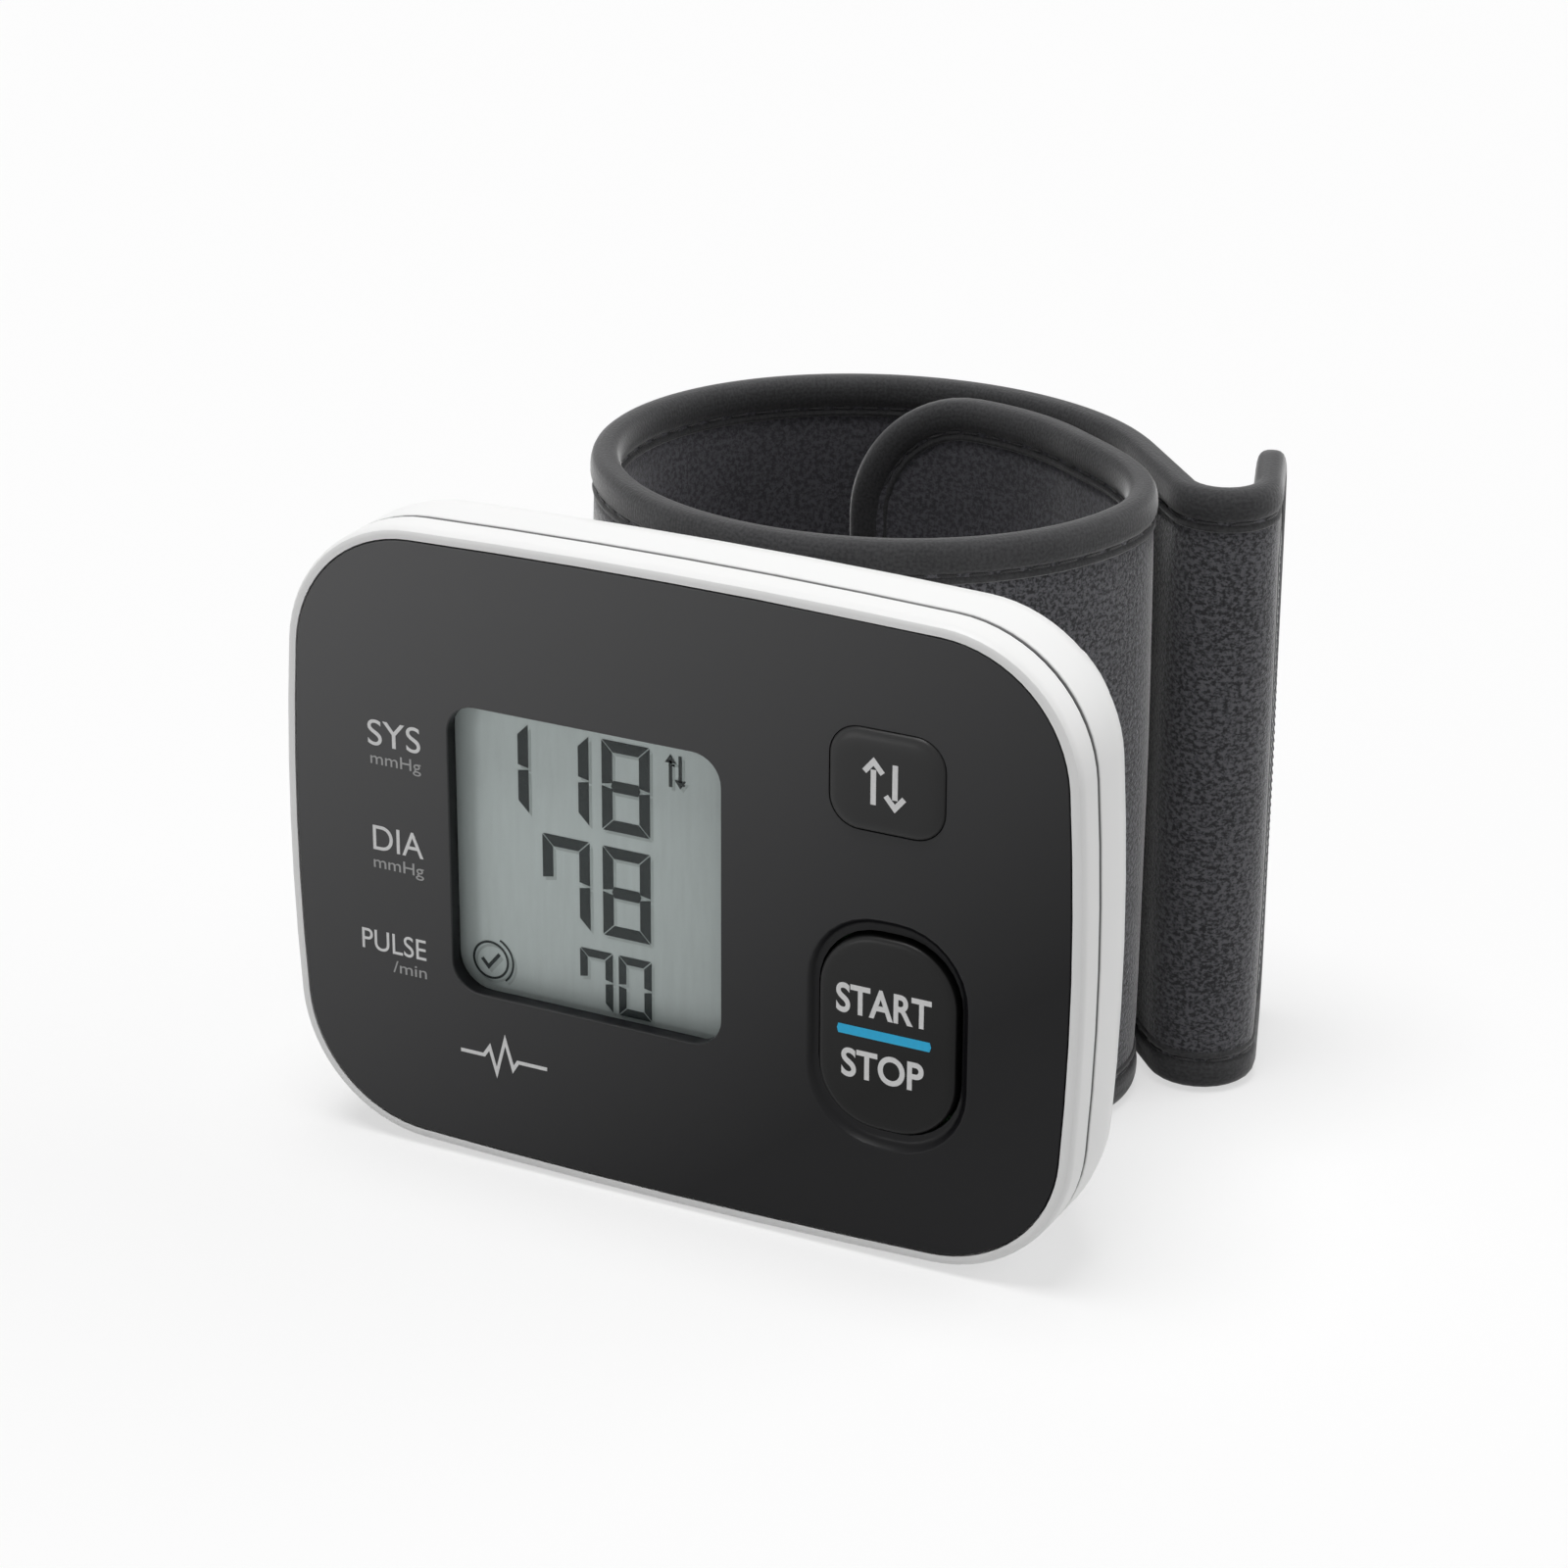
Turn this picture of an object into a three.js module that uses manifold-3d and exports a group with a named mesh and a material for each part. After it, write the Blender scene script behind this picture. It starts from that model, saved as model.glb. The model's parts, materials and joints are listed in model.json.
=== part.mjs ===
// Wrist blood pressure monitor: a display unit with a saddle back, carried on a pre-curled wrist cuff.
// Millimetres. X runs to the right of the display, Y from the display towards the wrist, Z up.
// Depths (Y) are measured from the face of the dark front panel and heights (Z) from the table;
// the last lines move the origin under the middle of the whole product.
import * as THREE from 'three';
import { mergeVertices } from 'three/addons/utils/BufferGeometryUtils.js';
import Module from 'manifold-3d';

const wasm = await Module();
wasm.setup();

// Display unit, seen from the front
const caseHalfWidth = 39;
const caseHalfHeight = 30;
const caseCorner = 13.4;
const topBow = 0.45;
const flankBow = 0.58;
const unitMiddle = caseHalfHeight;

// Depths of the display unit
const seamDepth = 3.3;
const seamGap = 0.3;
const rearFillet = 6;
const spineDepth = 13.5;
const unitDepth = 21;
const wall = 1.9;
const frontWallDepth = 1.25;
const frontWallBack = 2.25;
const tongueInset = 1.25;
const tongueBack = 4.2;

// Dark panel and what shows on it, relative to the middle of the unit
const panelInset = 1.2;
const panelGap = 0.15;
const panelThickness = 1.1;
const lipWidth = 0.3;
const windowBox = { x: -8.45, z: 0.25, width: 27.1, height: 27.5, corner: 2.8 };
const windowLedge = 0.5;
const windowLedgeDepth = 1.2;
const windowThickness = 0.6;
const collarWall = 0.9;
const collarBack = 2.3;
const startBox = { x: 21.05, z: -8.65, width: 13, height: 18.2, corner: 5.6 };
const startWell = { width: 15.2, height: 21.5, corner: 6.8, depth: 0.75 };
const linkBox = { x: 20.8, z: 14.7, width: 10.3, height: 8.8, corner: 2.6 };
const keyGap = 0.3;
const keyCrown = 0.5;

// Electronics
const lcdBox = { x: -8.45, z: 0.25, width: 31.5, height: 32, corner: 0.6 };
const lcdFront = 2.5;
const lcdBack = 4.5;
const boardFront = 5.3;
const boardBack = 6.1;
const boardBox = { x: 4.75, z: 0, width: 58.5, height: 46, corner: 8 };
const screwSpots = [[-6.5, -21], [8.9, -21], [-6.5, 21], [8.9, 21]];
const screwShank = 0.8;
const screwHead = 1.7;

// Two AAA cells standing in the left wing
const cellRadius = 5.25;
const cellLow = 7.6;
const cellHigh = 52.1;
const cellSpots = [[-29.5, 14.1], [-18.7, 12.7]];
const bayLow = 6;
const bayHigh = 53.4;
const bayFront = 7.2;
const bayBack = 19.6;
const bayLeft = -35.05;
const bayRight = -12.2;
const bayChamfer = { width: 1.85, depth: 3.1 };
const wingLow = 4.6;
const wingHigh = 54.8;

// Battery cover, sliding up in a slot beside it
const coverLow = 7;
const coverLeft = -32.6;
const coverRight = -13.4;
const coverGap = 0.3;
const coverFront = 19.7;
const coverFromOval = 3.2;
const rail = { left: -33.7, right: -32, front: 18.85, back: 19.3, low: 10, high: 46 };
const ribHeights = [43, 45.5, 48];

// Levels below and above everything, for cuts through the whole height
const underAll = -5;
const overAll = 65;

// Air path
const pumpSpot = [25.7, 13.2];
const hoseDepth = 8.2;
const nippleSpot = [1.2, 40];
const nippleRadius = 1.7;
const hoseRadius = 1.6;

// Cuff: a spiral band seen from above, clockwise from its inner end, then a hooked tail
const cuffCentre = new THREE.Vector2(1.2, 38.5);
const hollowGrowth = 2.1;
const loopWidth = 25.5;
const loopDepth = 22.9;
const innerEndAngle = 117;
const tailAngle = -321;
const drawnIn = 4.6;
const drawnFrom = -6;
const drawnTo = 52;
const tailRun = 11;
const hookRadius = 3.9;
const hookTurn = 157;
const tailTip = 13.4;
const cuffHeight = 59;
const cuffLow = 0.1;
const bandHalf = 1;
const bindingWall = 0.3;
const bindingGap = 0.15;
const bindingLeg = 3.8;
const bindingCrown = 1.3;
const innerEndCorner = 11;
const tailCorner = 7;
const hingeGap = 0.3;

const degrees = THREE.MathUtils.degToRad;

// Solids from geometries, and back

function solid(geometry) {
  const bare = geometry.clone();
  bare.deleteAttribute('normal');
  bare.deleteAttribute('uv');
  const merged = mergeVertices(bare, 1e-4);
  return new wasm.Manifold(new wasm.Mesh({
    numProp: 3,
    vertProperties: merged.attributes.position.array,
    triVerts: new Uint32Array(merged.index.array),
  }));
}

function geometryOf(body) {
  const shape = body.getMesh();
  const geometry = new THREE.BufferGeometry();
  geometry.setAttribute('position', new THREE.BufferAttribute(shape.vertProperties, 3));
  geometry.setIndex(new THREE.BufferAttribute(shape.triVerts, 1));
  geometry.computeVertexNormals();
  return geometry;
}

// A closed skin through rings of points, capped at both ends by the given flat outline.
function loft(rings, capOutline) {
  const count = rings[0].length;
  const points = rings.flat();
  const index = [];
  for (let ring = 0; ring + 1 < rings.length; ring += 1) {
    for (let step = 0; step < count; step += 1) {
      const a = ring * count + step;
      const b = ring * count + ((step + 1) % count);
      index.push(a, b, b + count, a, b + count, a + count);
    }
  }
  const last = (rings.length - 1) * count;
  const turnsLeft = THREE.ShapeUtils.area(capOutline) > 0;
  for (const [a, b, c] of THREE.ShapeUtils.triangulateShape(capOutline, [])) {
    index.push(...(turnsLeft ? [a, c, b] : [a, b, c]));
    index.push(...(turnsLeft ? [last + a, last + b, last + c] : [last + a, last + c, last + b]));
  }
  const geometry = new THREE.BufferGeometry().setFromPoints(points);
  geometry.setIndex(facingOut(points, index));
  return geometry;
}

// Turns every triangle over when together they enclose a negative volume.
function facingOut(points, index) {
  let volume = 0;
  for (let corner = 0; corner < index.length; corner += 3) {
    const [a, b, c] = index.slice(corner, corner + 3).map((place) => points[place]);
    volume += a.dot(b.clone().cross(c));
  }
  return volume < 0 ? index.reverse() : index;
}

function block(xLow, xHigh, yLow, yHigh, zLow, zHigh) {
  const geometry = new THREE.BoxGeometry(xHigh - xLow, yHigh - yLow, zHigh - zLow);
  geometry.translate((xLow + xHigh) / 2, (yLow + yHigh) / 2, (zLow + zHigh) / 2);
  return solid(geometry);
}

// A round post along Y at a place seen from the front.
function postAlongY(x, z, radius, yLow, yHigh, sides = 16) {
  const geometry = new THREE.CylinderGeometry(radius, radius, yHigh - yLow, sides);
  geometry.translate(x, (yLow + yHigh) / 2, z);
  return solid(geometry);
}

// A round post along Z at a place seen from above.
function postAlongZ(x, y, radius, zLow, zHigh, sides = 16) {
  const geometry = new THREE.CylinderGeometry(radius, radius, zHigh - zLow, sides);
  geometry.rotateX(Math.PI / 2);
  geometry.translate(x, y, (zLow + zHigh) / 2);
  return solid(geometry);
}

// A straight tube between two points.
function rod(from, to, radius, sides = 10) {
  const geometry = new THREE.CylinderGeometry(radius, radius, from.distanceTo(to), sides);
  const way = to.clone().sub(from).normalize();
  geometry.applyQuaternion(new THREE.Quaternion().setFromUnitVectors(new THREE.Vector3(0, 1, 0), way));
  const middle = from.clone().add(to).multiplyScalar(0.5);
  geometry.translate(middle.x, middle.y, middle.z);
  return solid(geometry);
}

// A flat plate: a shape seen from the front, between two depths.
function plate(shape, yFront, yBack) {
  const geometry = new THREE.ExtrudeGeometry(shape, {
    depth: yBack - yFront,
    bevelEnabled: false,
    curveSegments: 4,
  });
  geometry.rotateX(Math.PI / 2);
  geometry.translate(0, yBack, 0);
  return solid(geometry);
}

// An upright prism: a shape seen from above, between two heights.
function prism(shape, zLow, zHigh, curveSegments = 4) {
  const geometry = new THREE.ExtrudeGeometry(shape, {
    depth: zHigh - zLow,
    bevelEnabled: false,
    curveSegments,
  });
  geometry.translate(0, 0, zLow);
  return solid(geometry);
}

// Outlines

function arcPoints(centre, radius, from, to, steps) {
  const points = [];
  for (let step = 0; step < steps; step += 1) {
    const angle = from + ((to - from) * step) / steps;
    points.push(new THREE.Vector2(centre.x + radius * Math.cos(angle), centre.y + radius * Math.sin(angle)));
  }
  return points;
}

// The middle of the corner arc that touches the bowed top and the bowed flank.
function cornerCentre(topRadius, flankRadius) {
  const top = new THREE.Vector2(0, caseHalfHeight - topRadius);
  const flank = new THREE.Vector2(caseHalfWidth - flankRadius, 0);
  const apart = flank.distanceTo(top);
  const reach = topRadius - caseCorner;
  const along = (reach ** 2 - (flankRadius - caseCorner) ** 2 + apart ** 2) / (2 * apart);
  const across = Math.sqrt(reach ** 2 - along ** 2);
  const way = flank.clone().sub(top).divideScalar(apart);
  return top.clone().addScaledVector(way, along).add(new THREE.Vector2(way.y, -way.x).multiplyScalar(across));
}

// The case outline, moved inwards by an inset: four bowed sides and four tangent corners.
function caseOutline(inset) {
  const bowRadius = (chord, bow) => (chord ** 2 + bow ** 2) / (2 * bow);
  const topRadius = bowRadius(caseHalfWidth - caseCorner, topBow);
  const flankRadius = bowRadius(caseHalfHeight - caseCorner, flankBow);
  const corner = cornerCentre(topRadius, flankRadius);
  const flankEnd = Math.atan2(corner.y, corner.x - caseHalfWidth + flankRadius);
  const topEnd = Math.atan2(corner.y - caseHalfHeight + topRadius, corner.x);
  const sideSteps = 3;
  const cornerSteps = 8;
  const half = [
    ...arcPoints(new THREE.Vector2(caseHalfWidth - flankRadius, 0), flankRadius - inset,
      -flankEnd, flankEnd, sideSteps),
    ...arcPoints(corner, caseCorner - inset, flankEnd, topEnd, cornerSteps),
    ...arcPoints(new THREE.Vector2(0, caseHalfHeight - topRadius), topRadius - inset,
      topEnd, Math.PI - topEnd, sideSteps),
    ...arcPoints(new THREE.Vector2(-corner.x, corner.y), caseCorner - inset,
      Math.PI - topEnd, Math.PI - flankEnd, cornerSteps),
  ];
  const otherHalf = half.map((point) => point.clone().negate());
  return [...half, ...otherHalf].map((point) => new THREE.Vector2(point.x, point.y + unitMiddle));
}

function caseShape(inset) {
  return new THREE.Shape(caseOutline(inset));
}

// A body with the case outline, through pairs of inset and depth.
function caseLoft(profile) {
  const ring = (inset, y) => caseOutline(inset).map((point) => new THREE.Vector3(point.x, y, point.y));
  const rings = profile.map(([inset, y]) => ring(inset, y));
  return solid(loft(rings, caseOutline(profile[0][0])));
}

// A rounded rectangle on the panel, grown on every side.
function roundedShape(box, grown = 0) {
  const halfWidth = box.width / 2 + grown;
  const halfHeight = box.height / 2 + grown;
  const radius = Math.max(box.corner + grown, 0.2);
  const z = box.z + unitMiddle;
  const shape = new THREE.Shape();
  const corners = [[1, 1, 0], [-1, 1, 90], [-1, -1, 180], [1, -1, 270]];
  for (const [sideX, sideZ, start] of corners) {
    shape.absarc(box.x + sideX * (halfWidth - radius), z + sideZ * (halfHeight - radius),
      radius, degrees(start), degrees(start + 90));
  }
  return shape;
}

function roundedRing(box, grown, y) {
  const outline = roundedShape(box, grown).extractPoints(4).shape;
  return outline.map((point) => new THREE.Vector3(point.x, y, point.y));
}

// A key cap or a well: a rounded rectangle through pairs of growth and depth.
function roundedLoft(box, profile) {
  const rings = profile.map(([grown, y]) => roundedRing(box, grown, y));
  return solid(loft(rings, roundedShape(box, profile[0][0]).extractPoints(4).shape));
}

// The cuff's oval, grown on every side, as a prism through the whole height.
function ovalPrism(grown) {
  const shape = new THREE.Shape();
  shape.absellipse(cuffCentre.x, cuffCentre.y, loopWidth + grown, loopDepth + grown, 0, 2 * Math.PI);
  return prism(shape, underAll, overAll, 24);
}

// Scene graph

const product = new THREE.Group();

function addPiece(group, name, body, [colour, roughness, metalness]) {
  const material = new THREE.MeshStandardMaterial({ color: colour, roughness, metalness });
  const geometry = body.isBufferGeometry ? body : geometryOf(body);
  const piece = new THREE.Mesh(geometry, material);
  piece.name = name;
  group.add(piece);
}

const whitePlastic = [0xeeeeec, 0.3, 0];
const darkPlastic = [0x3c3d40, 0.45, 0];
const innerPlastic = [0xd8d8d4, 0.6, 0];
const clearPlastic = [0xdfe6e4, 0.05, 0];
const displayGlass = [0xa4aeab, 0.2, 0];
const greenBoard = [0x2f6b3a, 0.5, 0];
const chipBlack = [0x1c1c1e, 0.5, 0];
const softRubber = [0xcfd2d0, 0.8, 0];
const plainMetal = [0xb8babc, 0.35, 1];
const cellJacket = [0x2a2d33, 0.4, 0.2];
const greyCloth = [0x5e5f63, 0.95, 0];
const darkTape = [0x5a5b5f, 0.8, 0];
const hookCloth = [0x35363a, 0.9, 0];
const bladderFilm = [0x8a8f96, 0.6, 0];

// Front case: a frame with a sunk face for the dark panel, a tongue behind the seam and four bosses.
function frontCase() {
  let body = caseLoft([[panelInset - panelGap - lipWidth, 0], [0.3, 0.15], [0.08, 0.5], [0, 1], [0, 3.1],
    [0.2, seamDepth]]);
  body = body.subtract(plate(caseShape(panelInset - panelGap), -1, frontWallDepth));
  body = body.subtract(plate(caseShape(wall), frontWallBack, unitDepth));
  const tongue = plate(caseShape(tongueInset), frontWallBack, tongueBack);
  body = body.add(tongue.subtract(plate(caseShape(wall), 0, unitDepth)));
  body = body.subtract(plate(roundedShape(windowBox, collarWall + panelGap), -1, unitDepth));
  body = body.subtract(plate(roundedShape(startBox, keyGap + collarWall + panelGap), -1, unitDepth));
  body = body.subtract(plate(roundedShape(linkBox, keyGap + collarWall + panelGap), -1, unitDepth));
  for (const [x, z] of screwSpots) {
    body = body.add(postAlongY(x, unitMiddle + z, 2.2, frontWallBack - 0.5, 8));
    body = body.subtract(postAlongY(x, unitMiddle + z, screwShank + 0.3, 2.9, 9, 12));
  }
  return body;
}

// Dark panel: a thin plate with a collared display window, a dished well and two key holes.
function frontPanel() {
  let body = plate(caseShape(panelInset), 0, panelThickness);
  body = body.add(plate(roundedShape(windowBox, collarWall), 0.5, collarBack));
  body = body.add(plate(roundedShape(startBox, keyGap + collarWall), 0.5, collarBack - 0.4));
  body = body.subtract(plate(roundedShape(windowBox), -1, unitDepth));
  body = body.subtract(plate(roundedShape(windowBox, windowLedge), windowLedgeDepth, unitDepth));
  const well = { ...startBox, ...startWell };
  const shrink = (startBox.width - startWell.width) / 2 + keyGap;
  body = body.subtract(roundedLoft(well, [[0.05, -0.05], [shrink * 0.5, startWell.depth * 0.7],
    [shrink, startWell.depth]]));
  body = body.subtract(plate(roundedShape(startBox, keyGap), -1, unitDepth));
  body = body.subtract(plate(roundedShape(linkBox, keyGap), -1, unitDepth));
  return body;
}

// A key: a crowned cap, a flange that stays behind the panel and a stem over its switch.
function keyCap(box, crown, flangeFront) {
  const cap = roundedLoft(box, [[-1.7, -crown], [-0.7, -crown * 0.8], [-0.15, -crown * 0.2], [0, 0.35],
    [0, flangeFront + 0.1]]);
  const flange = plate(roundedShape(box, 0.8), flangeFront, flangeFront + 0.5);
  const stem = postAlongY(box.x, unitMiddle + box.z, 1.8, flangeFront + 0.2, 3.1);
  return cap.add(flange).add(stem);
}

function tactSwitch(box) {
  const z = unitMiddle + box.z;
  const base = block(box.x - 3, box.x + 3, 4.1, boardFront - 0.05, z - 3, z + 3);
  return base.add(postAlongY(box.x, z, 1.6, 3.8, 4.3));
}

function lcdFrame() {
  const ring = plate(roundedShape(lcdBox, 1.1), lcdFront + 0.1, boardFront - 0.1);
  return ring.subtract(plate(roundedShape(lcdBox, 0.15), 0, unitDepth));
}

function mainBoard() {
  let body = plate(roundedShape(boardBox), boardFront, boardBack);
  for (const [x, z] of screwSpots) {
    body = body.subtract(postAlongY(x, unitMiddle + z, 2.6, 0, unitDepth));
  }
  return body;
}

// Left wing for the cells, right wing for the pump: upright ribs with rounded ends on both sides
// of the hollow that the cuff lies in.
function wing(foot, shoulder, crest, inner, envelope) {
  const rounding = 2;
  const shape = new THREE.Shape();
  shape.moveTo(foot, 8);
  shape.lineTo(shoulder, 17.2);
  shape.quadraticCurveTo((shoulder + crest) / 2 + (shoulder - crest) * 0.35, unitDepth, crest, unitDepth);
  shape.lineTo(inner, unitDepth);
  shape.lineTo(inner, 8);
  const geometry = new THREE.ExtrudeGeometry(shape, {
    depth: wingHigh - wingLow - 2 * rounding,
    bevelThickness: rounding,
    bevelSize: rounding,
    bevelOffset: -rounding,
    bevelSegments: 3,
    curveSegments: 5,
  });
  geometry.translate(0, 0, wingLow + rounding);
  return solid(geometry).intersect(caseLoft(envelope)).subtract(ovalPrism(hollowGrowth));
}

const leftWing = wing(-38.2, -35.8, -32, -6,
  [[0.3, 6], [0.8, 12], [1.5, 17], [3.4, 20.2], [5, unitDepth + 0.2]]);
const rightWing = wing(36.8, 34, 30.6, 8.4,
  [[0.05, 6], [0.3, 9], [1.06, 10.9], [2.9, 13.5], [5.3, 17], [7.3, 20], [8.6, unitDepth + 0.2]]);

// The space in front of the battery cover's inner face, as a prism.
function behindCover(clearance) {
  const space = block(-36, -10, 4, coverFront - clearance, underAll, overAll);
  return space.subtract(ovalPrism(coverFromOval + clearance));
}

// The room for the two cells, with a chamfer behind the rounded rear edge of the wing.
function batteryBay() {
  const shape = new THREE.Shape();
  shape.moveTo(bayLeft, bayFront);
  shape.lineTo(bayRight, bayFront);
  shape.lineTo(bayRight, bayBack);
  shape.lineTo(bayLeft + bayChamfer.width, bayBack);
  shape.lineTo(bayLeft, bayBack - bayChamfer.depth);
  const envelope = caseLoft([[1.5, 6], [1.7, 12], [2.2, 17], [3.6, 20]]);
  return prism(shape, bayLow, bayHigh).intersect(envelope).subtract(ovalPrism(coverFromOval));
}

// Rear case: a lofted shell with two wings, a bay for the cells and a rail slot for their cover.
function rearCase() {
  const straightTo = spineDepth - rearFillet;
  const fillet = [20, 45, 70, 90].map(degrees).map((angle) => [rearFillet * (1 - Math.cos(angle)),
    straightTo + rearFillet * Math.sin(angle)]);
  const seamBack = seamDepth + seamGap;
  let body = caseLoft([[0.2, seamBack], [0, seamBack + 0.2], [0, straightTo], ...fillet]);
  body = body.subtract(ovalPrism(hollowGrowth)).add(leftWing).add(rightWing);
  const besideTongue = tongueInset - 0.2;
  const behindTongue = tongueBack + 0.3;
  const hollow = caseLoft([[besideTongue, 3], [besideTongue, behindTongue], [wall, behindTongue],
    [wall, straightTo], [3, 10.4], [6.2, spineDepth - 1.5]]);
  const batteryBox = block(-37.5, -11.2, 6.4, spineDepth, wingLow, wingHigh);
  body = body.subtract(hollow.subtract(batteryBox)).subtract(pumpRoom()).subtract(batteryBay());
  const coverOpening = block(coverLeft - coverGap, coverRight + coverGap, bayFront, unitDepth + 4,
    coverLow - coverGap, overAll);
  body = body.subtract(coverOpening.subtract(behindCover(coverGap)));
  body = body.subtract(block(rail.left - coverGap, rail.right + coverGap, rail.front - coverGap,
    coverFront, rail.low - coverGap, overAll));
  for (const [x, z] of screwSpots) {
    body = body.add(postAlongY(x, unitMiddle + z, 2.6, 8.3, spineDepth - 1));
    body = body.subtract(postAlongY(x, unitMiddle + z, screwShank + 0.3, 7, 15, 12));
    body = body.subtract(postAlongY(x, unitMiddle + z, screwHead + 0.3, 11.2, 16, 12));
  }
  return body.subtract(postAlongY(nippleSpot[0], nippleSpot[1], nippleRadius + 0.3, 8, 15));
}

// The room for the pump and the valve, one wall behind the outer faces of the right wing.
function pumpRoom() {
  const inside = caseLoft([[2, 6], [2.6, 10.9], [4.4, 13.5], [6.8, 17], [8.8, 20]]);
  const room = block(20.2, 33.2, 6.4, bayBack, 6.2, bayHigh);
  return room.intersect(inside).subtract(ovalPrism(hollowGrowth + 1.4));
}

// Battery cover: the rear skin of the left wing, with grip ribs, a side rail and a foot tongue.
function batteryCover() {
  const cut = block(coverLeft, coverRight, bayFront, unitDepth + 4, coverLow, overAll);
  let body = leftWing.intersect(cut).subtract(behindCover(0));
  for (const height of ribHeights) {
    body = body.add(block(-30, -22, unitDepth - 0.4, unitDepth + 0.3, height - 0.5, height + 0.5));
  }
  body = body.add(block(rail.left, rail.right, rail.front, rail.back, rail.low, rail.high));
  body = body.add(block(coverLeft + 0.1, rail.right, rail.back - 0.3, coverFront + 0.3, rail.low, rail.high));
  const tongueTop = coverLow + 1.5;
  body = body.add(block(-25, -21, 18.7, 19.3, coverLow - 0.7, tongueTop));
  return body.add(block(-25, -21, 19, coverFront + 0.3, coverLow + 0.2, tongueTop));
}

// An AAA cell: a jacketed can with its contact nub at one end.
function cell([x, y], nubUp) {
  const length = cellHigh - cellLow;
  const profile = [[0, 0], [4.7, 0], [cellRadius, 0.5], [cellRadius, length - 1.6], [4.7, length - 1.1],
    [1.9, length - 1.1], [1.7, length], [0, length]];
  const geometry = new THREE.LatheGeometry(profile.map(([r, z]) => new THREE.Vector2(r, z)), 18);
  geometry.rotateX(nubUp ? Math.PI / 2 : -Math.PI / 2);
  geometry.translate(x, y, nubUp ? cellLow : cellHigh);
  return solid(geometry);
}

// A contact plate with bowed leaves that press on the cell ends.
function contact(spots, plateZ, leafWay) {
  const xs = spots.map(([x]) => x);
  const thickness = 0.4;
  const rise = 0.9;
  let body = block(Math.min(...xs) - 3.2, Math.max(...xs) + 3.2, 9.8, 15.4, plateZ, plateZ + thickness);
  for (const x of xs) {
    const face = leafWay > 0 ? plateZ + thickness - 0.1 : plateZ + 0.1;
    const leaf = new THREE.Shape();
    leaf.moveTo(x - 2.4, face);
    leaf.quadraticCurveTo(x, face + leafWay * 2 * rise, x + 2.4, face);
    const bowed = plate(leaf, 11.3, 14.1);
    body = body.add(bowed);
  }
  return body;
}

// Pump: a small motor with flats, and a three-chamber head with its outlet on top.
function pumpMotor() {
  const [x, y] = pumpSpot;
  const flats = block(x - 6, x + 6, y - 4.4, y + 4.4, underAll, overAll);
  const can = postAlongZ(x, y, 5.2, 9.6, 23, 20).intersect(flats);
  return can.add(postAlongZ(x, y, 1.6, 8.2, 9.7, 12));
}

function pumpHead() {
  const [x, y] = pumpSpot;
  const shape = new THREE.Shape();
  shape.moveTo(x - 4.2, y - 5);
  shape.lineTo(x + 4.2, y - 5);
  shape.lineTo(x + 5, y - 4.2);
  shape.lineTo(x + 5, y + 4.2);
  shape.lineTo(x + 4.2, y + 5);
  shape.lineTo(x - 4.2, y + 5);
  shape.lineTo(x - 5, y + 4.2);
  shape.lineTo(x - 5, y - 4.2);
  const body = prism(shape, 23.3, 31).add(postAlongZ(x, y, 4.2, 30.9, 33, 16));
  return body.add(postAlongZ(x, y, 1.1, 32.9, 36, 10));
}

function releaseValve() {
  const [x, y] = pumpSpot;
  const body = block(x - 4.2, x + 3.4, y - 4, y + 2.8, 46.2, 51);
  return body.add(postAlongZ(x, y, 2.6, 45.4, 46.3, 12)).add(postAlongZ(x, y, 1.1, 44, 45.5, 10));
}

function pressureSensor() {
  const [, height] = nippleSpot;
  const body = block(-10, -3.4, boardBack + 0.05, 9.5, height - 3.5, height + 3.5);
  const spigot = [-3.5, -1].map((x) => new THREE.Vector3(x, hoseDepth, height));
  return body.add(rod(spigot[0], spigot[1], 1.1));
}

// Air hose: one moulded branch piece from the sensor to the cuff nipple, the pump and the valve.
function airHose() {
  const [x, y] = pumpSpot;
  const [nippleX, height] = nippleSpot;
  const sensorEnd = new THREE.Vector3(-0.7, hoseDepth, height);
  const elbow = new THREE.Vector3(19, hoseDepth, height);
  const bendFrom = new THREE.Vector3(18.3, hoseDepth - 0.4, height);
  const branch = new THREE.Vector3(x, y, height);
  const pumpEnd = new THREE.Vector3(x, y, 36.3);
  const valveEnd = new THREE.Vector3(x, y, 43.7);
  const outlet = new THREE.Vector3(nippleX, hoseDepth, height);
  const nippleEnd = new THREE.Vector3(nippleX, hoseDepth + 2, height);
  const runs = [[sensorEnd, elbow], [bendFrom, branch], [pumpEnd, valveEnd], [outlet, nippleEnd]];
  return runs.map(([from, to]) => rod(from, to, hoseRadius)).reduce((body, run) => body.add(run));
}

function cuffNipple() {
  const [x, height] = nippleSpot;
  const tube = postAlongY(x, height, nippleRadius, 10.5, 15.4, 12);
  return tube.subtract(postAlongY(x, height, 0.8, 10, 16, 8));
}

function caseScrew([x, z]) {
  const shank = postAlongY(x, unitMiddle + z, screwShank, 3.2, 11.6, 10);
  return shank.add(postAlongY(x, unitMiddle + z, screwHead, 11.5, 13, 14));
}

// Cuff band: an oval spiral, drawn in where the inner end lies under the outer turn.
class CuffLoop extends THREE.Curve {
  getPoint(share, target = new THREE.Vector2()) {
    const angle = THREE.MathUtils.lerp(innerEndAngle, tailAngle, share);
    const inwards = drawnIn * THREE.MathUtils.smoothstep(angle, drawnFrom, drawnTo);
    const turn = degrees(angle);
    return target.set(
      cuffCentre.x + (loopWidth - inwards) * Math.cos(turn),
      cuffCentre.y + (loopDepth - inwards) * Math.sin(turn),
    );
  }
}

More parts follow.
